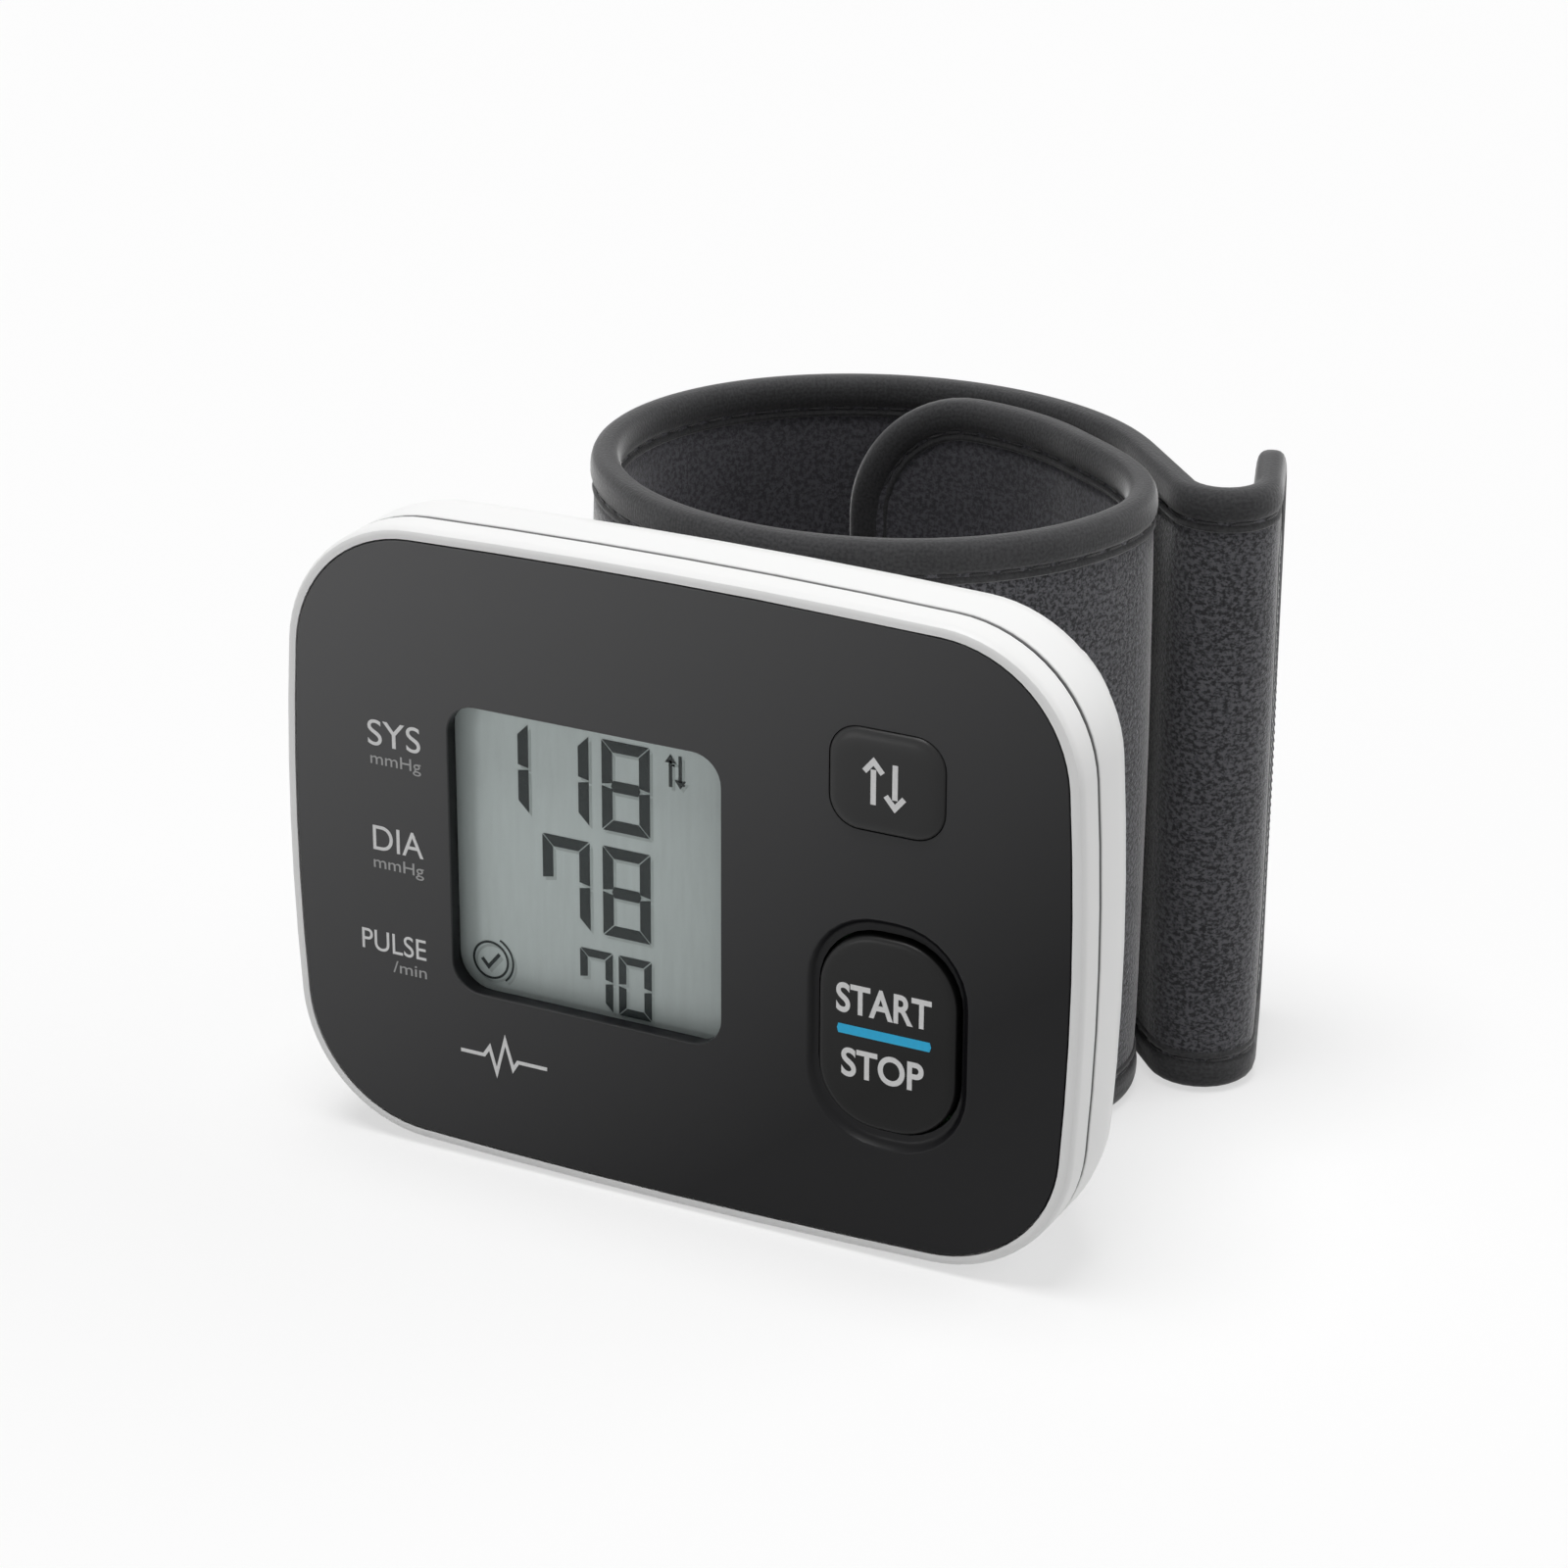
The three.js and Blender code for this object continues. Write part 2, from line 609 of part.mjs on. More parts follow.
const loop = new CuffLoop();
const tailStart = loop.getPoint(1);
const tailWay = loop.getTangent(1);
const runEnd = tailStart.clone().addScaledVector(tailWay, tailRun);
const hookCentre = runEnd.clone().add(new THREE.Vector2(-tailWay.y, tailWay.x).multiplyScalar(hookRadius));
const hookFrom = Math.atan2(runEnd.y - hookCentre.y, runEnd.x - hookCentre.x);
const hook = new THREE.EllipseCurve(hookCentre.x, hookCentre.y, hookRadius, hookRadius,
  hookFrom, hookFrom + degrees(hookTurn));
const tipWay = tailWay.clone().rotateAround(new THREE.Vector2(), degrees(hookTurn));
const tipStart = hook.getPoint(1);
const band = new THREE.CurvePath();
band.add(loop);
band.add(new THREE.LineCurve(tailStart, runEnd));
band.add(hook);
band.add(new THREE.LineCurve(tipStart, tipStart.clone().addScaledVector(tipWay, tailTip)));
const bandLength = band.getLength();
const loopLength = loop.getLength();
const hingeAt = loopLength + 1;

// Where the band is sampled: closely at both rounded ends, evenly in between.
function bandSamples() {
  const samples = [];
  for (const angle of [0, 18, 36, 54, 72]) {
    samples.push(innerEndCorner * (1 - Math.cos(degrees(angle))));
  }
  const loopSteps = 40;
  for (let step = 0; step <= loopSteps; step += 1) {
    samples.push(THREE.MathUtils.lerp(innerEndCorner, hingeAt - hingeGap / 2, step / loopSteps));
  }
  const tailFrom = hingeAt + hingeGap / 2;
  const tailSteps = 12;
  for (let step = 0; step < tailSteps; step += 1) {
    samples.push(THREE.MathUtils.lerp(tailFrom, bandLength - tailCorner, step / tailSteps));
  }
  for (const angle of [90, 72, 54, 36, 18, 0]) {
    samples.push(bandLength - tailCorner * (1 - Math.cos(degrees(angle))));
  }
  return samples;
}

const samples = bandSamples();
const stations = samples.map((along) => {
  const way = band.getTangent(along / bandLength);
  return { along, place: band.getPoint(along / bandLength), out: new THREE.Vector2(-way.y, way.x) };
});

// A point of the faceted band: along its length, out from its middle surface and up from the table.
function bandPoint(along, out, height) {
  const found = stations.findIndex((station) => station.along > along);
  const next = found < 0 ? stations.length - 1 : Math.max(found, 1);
  const before = stations[next - 1];
  const after = stations[next];
  const share = (along - before.along) / (after.along - before.along);
  const held = THREE.MathUtils.clamp(share, 0, 1);
  const normal = before.out.clone().lerp(after.out, held);
  const place = before.place.clone().lerp(after.place, share).addScaledVector(normal, out);
  return new THREE.Vector3(place.x, place.y, height);
}

// How far a rounded end lowers the band's upper edge, and lifts its lower one.
function endDrop(distance, corner) {
  const short = Math.max(corner - distance, 0);
  return corner - Math.sqrt(corner ** 2 - short ** 2);
}

// A layer of the band between two lengths and two offsets, set in from the band's edges.
function bandLayer(from, to, outLow, outHigh, setIn, corner = 0, cornerAtEnd = false) {
  const lengths = [from, ...samples.filter((along) => along > from + 0.01 && along < to - 0.01), to];
  const rings = lengths.map((along) => {
    const drop = corner > 0 ? endDrop(cornerAtEnd ? to - along : along - from, corner) : 0;
    const low = cuffLow + bindingCrown + setIn + drop;
    const high = cuffLow + cuffHeight - bindingCrown - setIn - drop;
    return [bandPoint(along, outLow, low), bandPoint(along, outHigh, low), bandPoint(along, outHigh, high),
      bandPoint(along, outLow, high)];
  });
  const square = [[0, 0], [1, 0], [1, 1], [0, 1]].map(([x, y]) => new THREE.Vector2(x, y));
  return loft(rings, square);
}

// The folded tape over the band's edge: out from the middle surface, and past the edge.
function tapeSection() {
  const outer = bandHalf + bindingGap + bindingWall;
  const inner = bandHalf + bindingGap;
  const half = [[outer, -bindingLeg], [outer, 0.3], [0.7, bindingCrown]];
  const lining = [[-inner, -bindingLeg], [-inner, bindingGap], [inner, bindingGap], [inner, -bindingLeg]];
  const mirrored = half.map(([out, past]) => [-out, past]).reverse();
  return [...half, ...mirrored, ...lining].map(([out, past]) => new THREE.Vector2(out, past));
}

// Tape along the lower edge, round one rounded end and back along the upper edge.
function edgeTape(end, far, corner) {
  const wayIn = Math.sign(far - end);
  const low = cuffLow + bindingCrown;
  const high = cuffLow + cuffHeight - bindingCrown;
  const runs = samples.filter((along) => (along - end) * wayIn > corner + 0.01
    && (far - along) * wayIn > 0.01);
  const inwards = [end + wayIn * corner, ...(wayIn > 0 ? runs : runs.reverse()), far];
  const turns = [0, 18, 36, 54, 72, 90];
  const lowerTurn = turns.map((turn) => ({
    along: end + wayIn * corner * (1 - Math.sin(degrees(turn))),
    height: low + corner * (1 - Math.cos(degrees(turn))),
    pastAlong: -wayIn * Math.sin(degrees(turn)),
    pastUp: -Math.cos(degrees(turn)),
  }));
  const upperTurn = lowerTurn.map((spot) => ({
    ...spot,
    height: low + high - spot.height,
    pastUp: -spot.pastUp,
  }));
  const lowerRun = inwards.slice(1).map((along) => ({ along, height: low, pastAlong: 0, pastUp: -1 }));
  const upperRun = inwards.slice(1).map((along) => ({ along, height: high, pastAlong: 0, pastUp: 1 }));
  const route = [...lowerRun.reverse(), ...lowerTurn, ...upperTurn.reverse(), ...upperRun];
  const section = tapeSection();
  const rings = route.map((spot) => section.map((point) => bandPoint(spot.along + spot.pastAlong * point.y,
    point.x, spot.height + spot.pastUp * point.y)));
  return loft(rings, section);
}

function withNippleHole(geometry) {
  return solid(geometry).subtract(postAlongY(nippleSpot[0], nippleSpot[1], nippleRadius + 0.3, 8, 17));
}

// The front stretch of the loop, where the band passes behind the display unit.
function lengthAtAngle(angle) {
  const share = (innerEndAngle - angle) / (innerEndAngle - tailAngle);
  const steps = 400;
  return loop.getLengths(steps)[Math.round(share * steps)];
}

// Display unit
const unit = new THREE.Group();
addPiece(unit, 'front_case', frontCase(), whitePlastic);
addPiece(unit, 'front_panel', frontPanel(), darkPlastic);
const windowFront = windowLedgeDepth + 0.1;
addPiece(unit, 'display_window', plate(roundedShape(windowBox, windowLedge - panelGap), windowFront,
  windowFront + windowThickness), clearPlastic);
addPiece(unit, 'lcd_glass', plate(roundedShape(lcdBox), lcdFront, lcdBack), displayGlass);
addPiece(unit, 'lcd_frame', lcdFrame(), innerPlastic);
addPiece(unit, 'zebra_strip', block(-22, 5, lcdBack + 0.05, boardFront - 0.1, 14.8, 16.4), softRubber);
addPiece(unit, 'main_board', mainBoard(), greenBoard);
addPiece(unit, 'controller_chip', block(0, 8, boardBack + 0.05, 7.3, 14, 22), chipBlack);
addPiece(unit, 'radio_module', block(23.5, 33, 3.9, boardFront - 0.05, 32.8, 38.4), plainMetal);
addPiece(unit, 'start_switch', tactSwitch(startBox), chipBlack);
addPiece(unit, 'link_switch', tactSwitch(linkBox), chipBlack);
addPiece(unit, 'start_button', keyCap(startBox, 0.1, 2.2), darkPlastic);
addPiece(unit, 'link_button', keyCap(linkBox, keyCrown, 1.45), darkPlastic);
addPiece(unit, 'rear_case', rearCase(), whitePlastic);
screwSpots.forEach((spot, place) => addPiece(unit, `case_screw_${place + 1}`, caseScrew(spot), plainMetal));

// Battery bay
const bay = new THREE.Group();
addPiece(bay, 'battery_cover', batteryCover(), whitePlastic);
addPiece(bay, 'battery_1', cell(cellSpots[0], true), cellJacket);
addPiece(bay, 'battery_2', cell(cellSpots[1], false), cellJacket);
addPiece(bay, 'link_contact', contact(cellSpots, bayLow + 0.1, 1), plainMetal);
addPiece(bay, 'positive_contact', contact([cellSpots[0]], bayHigh - 0.5, -1), plainMetal);
addPiece(bay, 'negative_contact', contact([cellSpots[1]], bayHigh - 0.5, -1), plainMetal);

// Air path
const air = new THREE.Group();
addPiece(air, 'pump_motor', pumpMotor(), plainMetal);
addPiece(air, 'pump_head', pumpHead(), innerPlastic);
addPiece(air, 'release_valve', releaseValve(), innerPlastic);
addPiece(air, 'pressure_sensor', pressureSensor(), innerPlastic);
addPiece(air, 'air_hose', airHose(), softRubber);
addPiece(air, 'cuff_nipple', cuffNipple(), innerPlastic);

// Cuff
const cuff = new THREE.Group();
const loopEnd = hingeAt - hingeGap / 2;
const tailFrom = hingeAt + hingeGap / 2;
addPiece(cuff, 'cuff_plate', withNippleHole(bandLayer(lengthAtAngle(-64), lengthAtAngle(-116), 1.2, 1.8, 10)),
  innerPlastic);
addPiece(cuff, 'cuff_outer_fabric', withNippleHole(bandLayer(0, loopEnd, 0.4, bandHalf, 0, innerEndCorner)),
  greyCloth);
addPiece(cuff, 'cuff_core', withNippleHole(bandLayer(6, loopEnd - 34, 0, 0.3, 5, 4)), innerPlastic);
addPiece(cuff, 'air_bladder', bandLayer(10, loopEnd - 60, -0.5, -0.1, 7, 5), bladderFilm);
addPiece(cuff, 'cuff_lining', bandLayer(0, loopEnd, -bandHalf, -0.6, 0, innerEndCorner), greyCloth);
addPiece(cuff, 'cuff_binding', edgeTape(0, loopEnd, innerEndCorner), darkTape);
addPiece(cuff, 'tail_fabric', bandLayer(tailFrom, bandLength, -bandHalf, bandHalf, 0, tailCorner, true),
  greyCloth);
addPiece(cuff, 'tail_binding', edgeTape(bandLength, tailFrom, tailCorner), darkTape);
addPiece(cuff, 'tail_hook_patch', bandLayer(bandLength - 13, bandLength - 4.6, -1.7, -1.2, 6), hookCloth);

product.add(unit, bay, air, cuff);

// The origin lies under the middle of the product, at the level that it stands on.
const extent = new THREE.Box3().setFromObject(product);
const middle = extent.getCenter(new THREE.Vector3());
product.position.set(-middle.x, -middle.y, -extent.min.z);

export default product;
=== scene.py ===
"""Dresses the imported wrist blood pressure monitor.

The shells keep the frame's forms with smooth shading. The keys, the print, the cells and the sewn cuff are
modelled here. Sizes in the classes are millimetres, with X to the right of the display, Y from the panel's
face into the unit and Z up. Panel sizes count Z from the panel's middle, cuff sizes from the table. Places
in a finish are metres in the frame.
"""

from __future__ import annotations

import bisect
import json
import logging
import math
from dataclasses import dataclass, field
from enum import Enum
from typing import Callable, Iterable, Mapping, Sequence, Union

import bmesh
import bpy
from mathutils import Matrix, Vector

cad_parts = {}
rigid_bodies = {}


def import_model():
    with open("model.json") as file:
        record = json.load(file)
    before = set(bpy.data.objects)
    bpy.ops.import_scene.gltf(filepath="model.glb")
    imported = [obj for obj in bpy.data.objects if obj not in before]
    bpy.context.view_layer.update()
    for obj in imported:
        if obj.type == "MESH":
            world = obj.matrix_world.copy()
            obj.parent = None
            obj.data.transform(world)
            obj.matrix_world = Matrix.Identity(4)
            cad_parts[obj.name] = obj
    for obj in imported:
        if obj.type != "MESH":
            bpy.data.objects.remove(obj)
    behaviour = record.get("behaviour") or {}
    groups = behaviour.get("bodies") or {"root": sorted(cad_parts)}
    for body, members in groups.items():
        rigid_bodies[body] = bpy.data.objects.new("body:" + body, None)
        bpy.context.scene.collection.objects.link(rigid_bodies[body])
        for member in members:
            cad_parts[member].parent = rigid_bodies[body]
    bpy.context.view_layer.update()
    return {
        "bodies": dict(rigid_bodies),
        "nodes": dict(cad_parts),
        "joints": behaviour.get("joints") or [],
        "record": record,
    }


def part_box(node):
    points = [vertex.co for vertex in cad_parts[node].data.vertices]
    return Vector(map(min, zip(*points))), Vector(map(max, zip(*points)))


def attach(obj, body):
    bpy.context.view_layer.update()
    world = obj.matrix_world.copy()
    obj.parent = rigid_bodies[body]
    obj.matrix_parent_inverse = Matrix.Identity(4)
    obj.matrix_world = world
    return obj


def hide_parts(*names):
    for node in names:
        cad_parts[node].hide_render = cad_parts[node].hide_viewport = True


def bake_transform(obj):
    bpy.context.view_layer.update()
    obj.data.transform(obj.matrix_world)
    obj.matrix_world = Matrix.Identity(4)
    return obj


log = logging.getLogger("monitor")

MM = 0.001
BAND_MAP = "band"
# Where nearly all of a noise texture's values lie.
NOISE_RANGE = (0.3, 0.7)
# Height of a capital in the built-in font, as a share of the font's size.
FONT_CAP = 0.729
# Dark segments of each figure: a to f clockwise from the top, and g across the middle.
SEGMENTS = {
    "0": "abcdef",
    "1": "bc",
    "2": "abdeg",
    "3": "abcdg",
    "4": "bcfg",
    "5": "acdfg",
    "6": "acdefg",
    "7": "abcf",
    "8": "abcdefg",
    "9": "abcdfg",
}

Colour = tuple[float, float, float]
Spot = tuple[float, float]
Value = Union["Wire", float, Sequence[float]]


class Align(Enum):
    """Which side of a printed word its place names."""

    CENTRE = 0
    RIGHT = 1


class Side(Enum):
    """Face of the cuff band, by the sign of its offset from the band's middle surface."""

    OUTER = 1
    INNER = -1


@dataclass(frozen=True)
class Wire:
    """An output socket of a material, with arithmetic that adds Math nodes."""

    graph: Graph
    socket: bpy.types.NodeSocket

    def __add__(self, other: Value) -> Wire:
        """Sum of two values."""
        return self.graph.math("ADD", self, other)

    def __radd__(self, other: Value) -> Wire:
        """Sum with the number on the left."""
        return self.graph.math("ADD", other, self)

    def __sub__(self, other: Value) -> Wire:
        """Difference of two values."""
        return self.graph.math("SUBTRACT", self, other)

    def __rsub__(self, other: Value) -> Wire:
        """Difference with the number on the left."""
        return self.graph.math("SUBTRACT", other, self)

    def __mul__(self, other: Value) -> Wire:
        """Product of two values."""
        return self.graph.math("MULTIPLY", self, other)

    def __rmul__(self, other: Value) -> Wire:
        """Product with the number on the left."""
        return self.graph.math("MULTIPLY", other, self)

    def __gt__(self, other: Value) -> Wire:
        """One where the value is above the other, and nought elsewhere."""
        return self.graph.math("GREATER_THAN", self, other)


class Graph:
    """Node tree of a material or of the world."""

    def __init__(
        self,
        owner: Union[bpy.types.Material, bpy.types.World],
        sink: str = "OutputMaterial",
    ) -> None:
        """Starts with an output node alone.

        Args:
            owner: what the tree belongs to.
            sink: type of its output node, without the ShaderNode prefix.
        """
        self.owner = owner
        owner.use_nodes = True
        self.tree = owner.node_tree
        self.tree.nodes.clear()
        self.sink = self.tree.nodes.new("ShaderNode" + sink)

    def show(self, shader: Wire) -> None:
        """Makes a shader the owner's surface."""
        self.tree.links.new(shader.socket, self.sink.inputs["Surface"])

    def seen(self) -> Wire:
        """Tells rays that show a thing from rays that only carry its light.

        Returns:
            One for rays straight from the camera, from a reflection or through glass, and nought for others.
        """
        rays = ("Is Camera Ray", "Is Glossy Ray", "Is Transmission Ray")
        straight, mirrored, through = (self.node("LightPath", {}, {}, ray) for ray in rays)
        return straight + mirrored + through

    def feed(self, socket: bpy.types.NodeSocket, value: Value) -> None:
        """Links a wire to a socket, or sets the socket's own value.

        Args:
            socket: the input socket.
            value: a wire, a number, a colour or a vector.
        """
        if isinstance(value, Wire):
            self.tree.links.new(value.socket, socket)
        elif socket.type == "RGBA" and len(value) == 3:
            socket.default_value = (*value, 1.0)
        else:
            socket.default_value = value

    def node(
        self,
        kind: str,
        settings: Mapping[str, object],
        inputs: Mapping[Union[str, int], Value],
        output: Union[str, int] = 0,
    ) -> Wire:
        """Adds a node.

        Args:
            kind: node type without the ShaderNode prefix.
            settings: node properties, set first.
            inputs: values or wires by socket.
            output: the socket to hand on.

        Returns:
            The wire of that output.
        """
        made = self.tree.nodes.new("ShaderNode" + kind)
        for key, value in settings.items():
            setattr(made, key, value)
        for key, value in inputs.items():
            self.feed(made.inputs[key], value)
        return Wire(self, made.outputs[output])

    def math(self, operation: str, left: Value, right: Value) -> Wire:
        """Adds a Math node for two values."""
        return self.node("Math", {"operation": operation}, {0: left, 1: right})

    def place(self) -> Wire:
        """Object coordinates of the piece, in metres."""
        return self.node("TexCoord", {}, {}, "Object")

    def along_band(self) -> Wire:
        """Coordinates along and across the cuff's cloth, in metres."""
        return self.node("UVMap", {"uv_map": BAND_MAP}, {})

    def stretched(self, vector: Wire, by: Sequence[float]) -> Wire:
        """Coordinates scaled per axis."""
        return self.node("VectorMath", {"operation": "MULTIPLY"}, {0: vector, 1: by})

    def axis(self, vector: Wire, name: str) -> Wire:
        """One component of a vector."""
        return self.node("SeparateXYZ", {}, {0: vector}, name)

    def noise(self, vector: Wire, grain: float, detail: float = 2.0) -> Wire:
        """Cloudy noise.

        Args:
            vector: coordinates in metres.
            grain: size of the clouds, in millimetres.
            detail: number of finer layers.

        Returns:
            A wire of about 0.3 to 0.7.
        """
        return self.node("TexNoise", {}, {"Vector": vector, "Scale": 1 / (grain * MM), "Detail": detail})

    def waves(self, value: Wire, pitch: float) -> Wire:
        """Ridges from nought to one along a length.

        Args:
            value: a length, in metres.
            pitch: length of a ridge, in millimetres.

        Returns:
            The ridges' height.
        """
        turned = self.node("Math", {"operation": "SINE"}, {0: value * (2 * math.pi / (pitch * MM))})
        return turned * 0.5 + 0.5

    def span(self, value: Wire, low: float, high: float, to_low: float = 0.0, to_high: float = 1.0) -> Wire:
        """Maps one range on another, held at its ends."""
        limits = {1: low, 2: high, 3: to_low, 4: to_high}
        return self.node("MapRange", {"clamp": True}, {0: value, **limits})

    def spread(self, noise: Wire, to_low: float = 0.0, to_high: float = 1.0) -> Wire:
        """Maps the usual range of a noise on another, held at its ends."""
        return self.span(noise, *NOISE_RANGE, to_low, to_high)

    def mix(self, share: Value, first: Value, second: Value) -> Wire:
        """Mixes two colours."""
        return self.node("Mix", {"data_type": "RGBA"}, {0: share, 6: first, 7: second}, 2)

    def bump(self, height: Wire, depth: float) -> Wire:
        """Relief on a surface.

        Args:
            height: relief from nought to one.
            depth: what one stands for, in millimetres.

        Returns:
            The normal.
        """
        return self.node("Bump", {}, {"Height": height, "Distance": depth * MM}, "Normal")

    def surface(self, inputs: Mapping[str, Value]) -> bpy.types.Material:
        """Makes a principled shader the material's surface.

        Args:
            inputs: values or wires by the shader's socket names.

        Returns:
            The finished material.
        """
        self.show(self.node("BsdfPrincipled", {}, inputs))
        return self.owner


def tinted(colour: Colour, by: float) -> Colour:
    """A colour made lighter or darker by a factor."""
    return (colour[0] * by, colour[1] * by, colour[2] * by)


@dataclass(frozen=True)
class Finish:
    """A material of the part, made once."""

    name: str
    slot: str
    colour: Colour

    def material(self) -> bpy.types.Material:
        """The finish as a material."""
        label = self.name + "_finish"
        return bpy.data.materials.get(label) or self.lay(Graph(bpy.data.materials.new(label)))

    def shades(self, dark: float, light: float) -> tuple[Colour, Colour]:
        """The colour made darker and lighter by two factors."""
        return tinted(self.colour, dark), tinted(self.colour, light)

    def lay(self, graph: Graph) -> bpy.types.Material:
        """Fills the node tree; each finish has its own."""
        raise NotImplementedError


@dataclass(frozen=True)
class Moulded(Finish):
    """Injection-moulded plastic with a fine spark grain and slightly uneven gloss."""

    roughness: float = 0.35
    grain: float = 0.25
    relief: float = 0.004
    mottle: float = 0.03
    gloss: float = 0.5
    cloud: float = 9.0
    pore_share: float = 0.5
    uneven: float = 0.06

    def tone(self, graph: Graph, place: Wire, colour: Wire) -> Wire:
        """The colour over the whole piece; plain unless a finish changes it."""
        return colour

    def lay(self, graph: Graph) -> bpy.types.Material:
        """Fills the node tree.

        Args:
            graph: the tree, with an output node alone.

        Returns:
            The finished material.
        """
        place = graph.place()
        cloud = graph.noise(place, grain=self.cloud, detail=3.0)
        pores = graph.noise(place, grain=self.grain, detail=2.0)
        shade = graph.span(cloud + (pores - 0.5) * self.pore_share, 0.0, 1.0)
        colour = graph.mix(shade, *self.shades(1 - self.mottle, 1 + self.mottle))
        dull, bright = self.roughness + self.uneven, self.roughness - self.uneven
        return graph.surface(
            {
                "Base Color": self.tone(graph, place, colour),
                "Roughness": graph.span(cloud, 0.0, 1.0, bright, dull),
                "Normal": graph.bump(pores, depth=self.relief),
                "Specular IOR Level": self.gloss,
            }
        )


@dataclass(frozen=True)
class CaseWhite(Moulded):
    """Moulded white with painted shade in the parting line."""

    seam_at: float = -0.02769
    seam_half: float = 0.00023
    seam_fade: float = 1.3
    # Colour of the painted shade in the parting line.
    seam: Colour = (0.16, 0.16, 0.16)

    def tone(self, graph: Graph, place: Wire, colour: Wire) -> Wire:
        """The colour, darker in the parting line, where its shade is painted.

        Args:
            graph: the material's tree.
            place: object coordinates.
            colour: the plain colour.

        Returns:
            The colour over the whole piece.
        """
        # Painted shade in the parting line's groove.
        off = graph.math("ABSOLUTE", graph.axis(place, "Y") - self.seam_at, 0.0)
        plain = graph.span(off, self.seam_half, self.seam_half * self.seam_fade)
        return graph.mix(plain, self.seam, colour)


@dataclass(frozen=True)
class DarkPanel(Moulded):
    """Moulded charcoal; a painted reflection makes its face fade from light at the upper left to the plain
    colour at the lower right corner.
    """

    # Colour of the painted reflection at the face's upper left.
    top: Colour = (0.115, 0.115, 0.117)
    slant: float = 0.8
    painted_fade_from: float = 0.0
    painted_fade_to: float = 0.08
    face_at: float = -0.0311
    wall_at: float = -0.0308

    def tone(self, graph: Graph, place: Wire, colour: Wire) -> Wire:
        """The colour, lightened on the face's upper left by a painted reflection, and plain on the walls
        behind it.

        Args:
            graph: the material's tree.
            place: object coordinates.
            colour: the plain colour.

        Returns:
            The colour over the whole piece.
        """
        # Painted reflection: lighter towards the face's upper left.
        lean = graph.axis(place, "Z") - graph.axis(place, "X") * self.slant
        painted_reflection = graph.mix(graph.span(lean, self.painted_fade_from, self.painted_fade_to), colour, self.top)
        behind = graph.span(graph.axis(place, "Y"), self.face_at, self.wall_at)
        return graph.mix(behind, painted_reflection, colour)


@dataclass(frozen=True)
class Metal(Finish):
    """Drawn or stamped metal with fine lines along its length."""

    roughness: float = 0.28
    line: float = 0.15
    line_stretch: float = 0.06
    line_relief: float = 0.003
    stain: float = 3.0
    stain_shade: float = 0.8

    def lay(self, graph: Graph) -> bpy.types.Material:
        """Fills the node tree.

        Args:
            graph: the tree, with an output node alone.

        Returns:
            The finished material.
        """
        drawn = graph.stretched(graph.place(), (1.0, 1.0, self.line_stretch))
        lines = graph.noise(drawn, grain=self.line, detail=2.0)
        tarnish = graph.noise(graph.place(), grain=self.stain, detail=3.0)
        stained = graph.span(tarnish, 0.35, 0.7)
        return graph.surface(
            {
                "Base Color": graph.mix(stained, self.colour, tinted(self.colour, self.stain_shade)),
                "Metallic": 1.0,
                "Roughness": graph.spread(lines, self.roughness - 0.08, self.roughness + 0.1),
                "Normal": graph.bump(lines, depth=self.line_relief),
            }
        )


@dataclass(frozen=True)
class ClearSheet(Finish):
    """Clear hard window with a faint haze of fine wiping marks."""

    mark: float = 0.6
    mark_stretch: float = 0.12
    index: float = 1.45

    def lay(self, graph: Graph) -> bpy.types.Material:
        """Fills the node tree.

        Args:
            graph: the tree, with an output node alone.

        Returns:
            The finished material.
        """
        along = graph.stretched(graph.place(), (1.0, 1.0, self.mark_stretch))
        wiped = graph.noise(along, grain=self.mark, detail=3.0)
        return graph.surface(
            {
                "Base Color": self.colour,
                "Roughness": graph.span(wiped, 0.35, 0.7, 0.03, 0.09),
                "IOR": self.index,
                "Alpha": graph.spread(wiped, 0.03, 0.06),
            }
        )


@dataclass(frozen=True)
class DisplayGlass(Finish):
    """Reflective display glass with a fine diffuser behind it, with painted light that makes it lighter
    towards the upper left.
    """

    painted_fade_from: float = 0.018
    painted_fade_to: float = 0.064
    # Factors of the painted light, towards the lower right and towards the upper left.
    dark: float = 0.82
    light: float = 1.12
    grain: float = 0.12
    grain_share: float = 0.3
    relief: float = 0.002

    def lay(self, graph: Graph) -> bpy.types.Material:
        """Fills the node tree.

        Args:
            graph: the tree, with an output node alone.

        Returns:
            The finished material.
        """
        place = graph.place()
        # Painted light: lighter towards the upper left.
        lean = graph.span(graph.axis(place, "Z") - graph.axis(place, "X"), self.painted_fade_from, self.painted_fade_to)
        sparkle = graph.noise(place, grain=self.grain, detail=1.0)
        shade = graph.span(lean + (sparkle - 0.5) * self.grain_share, 0.0, 1.0)
        return graph.surface(
            {
                "Base Color": graph.mix(shade, *self.shades(self.dark, self.light)),
                "Roughness": graph.spread(sparkle, 0.3, 0.42),
                "Normal": graph.bump(sparkle, depth=self.relief),
            }
        )


@dataclass(frozen=True)
class Ink(Finish):
    """Screen-printed ink, slightly uneven."""

    roughness: float = 0.5
    thin: float = 0.93
    patch: float = 0.3

    def lay(self, graph: Graph) -> bpy.types.Material:
        """Fills the node tree.

        Args:
            graph: the tree, with an output node alone.

        Returns:
            The finished material.
        """
        patches = graph.noise(graph.place(), grain=self.patch, detail=2.0)
        return graph.surface(
            {
                "Base Color": graph.mix(graph.spread(patches), tinted(self.colour, self.thin), self.colour),
                "Roughness": graph.spread(patches, self.roughness - 0.05, self.roughness + 0.08),
            }
        )


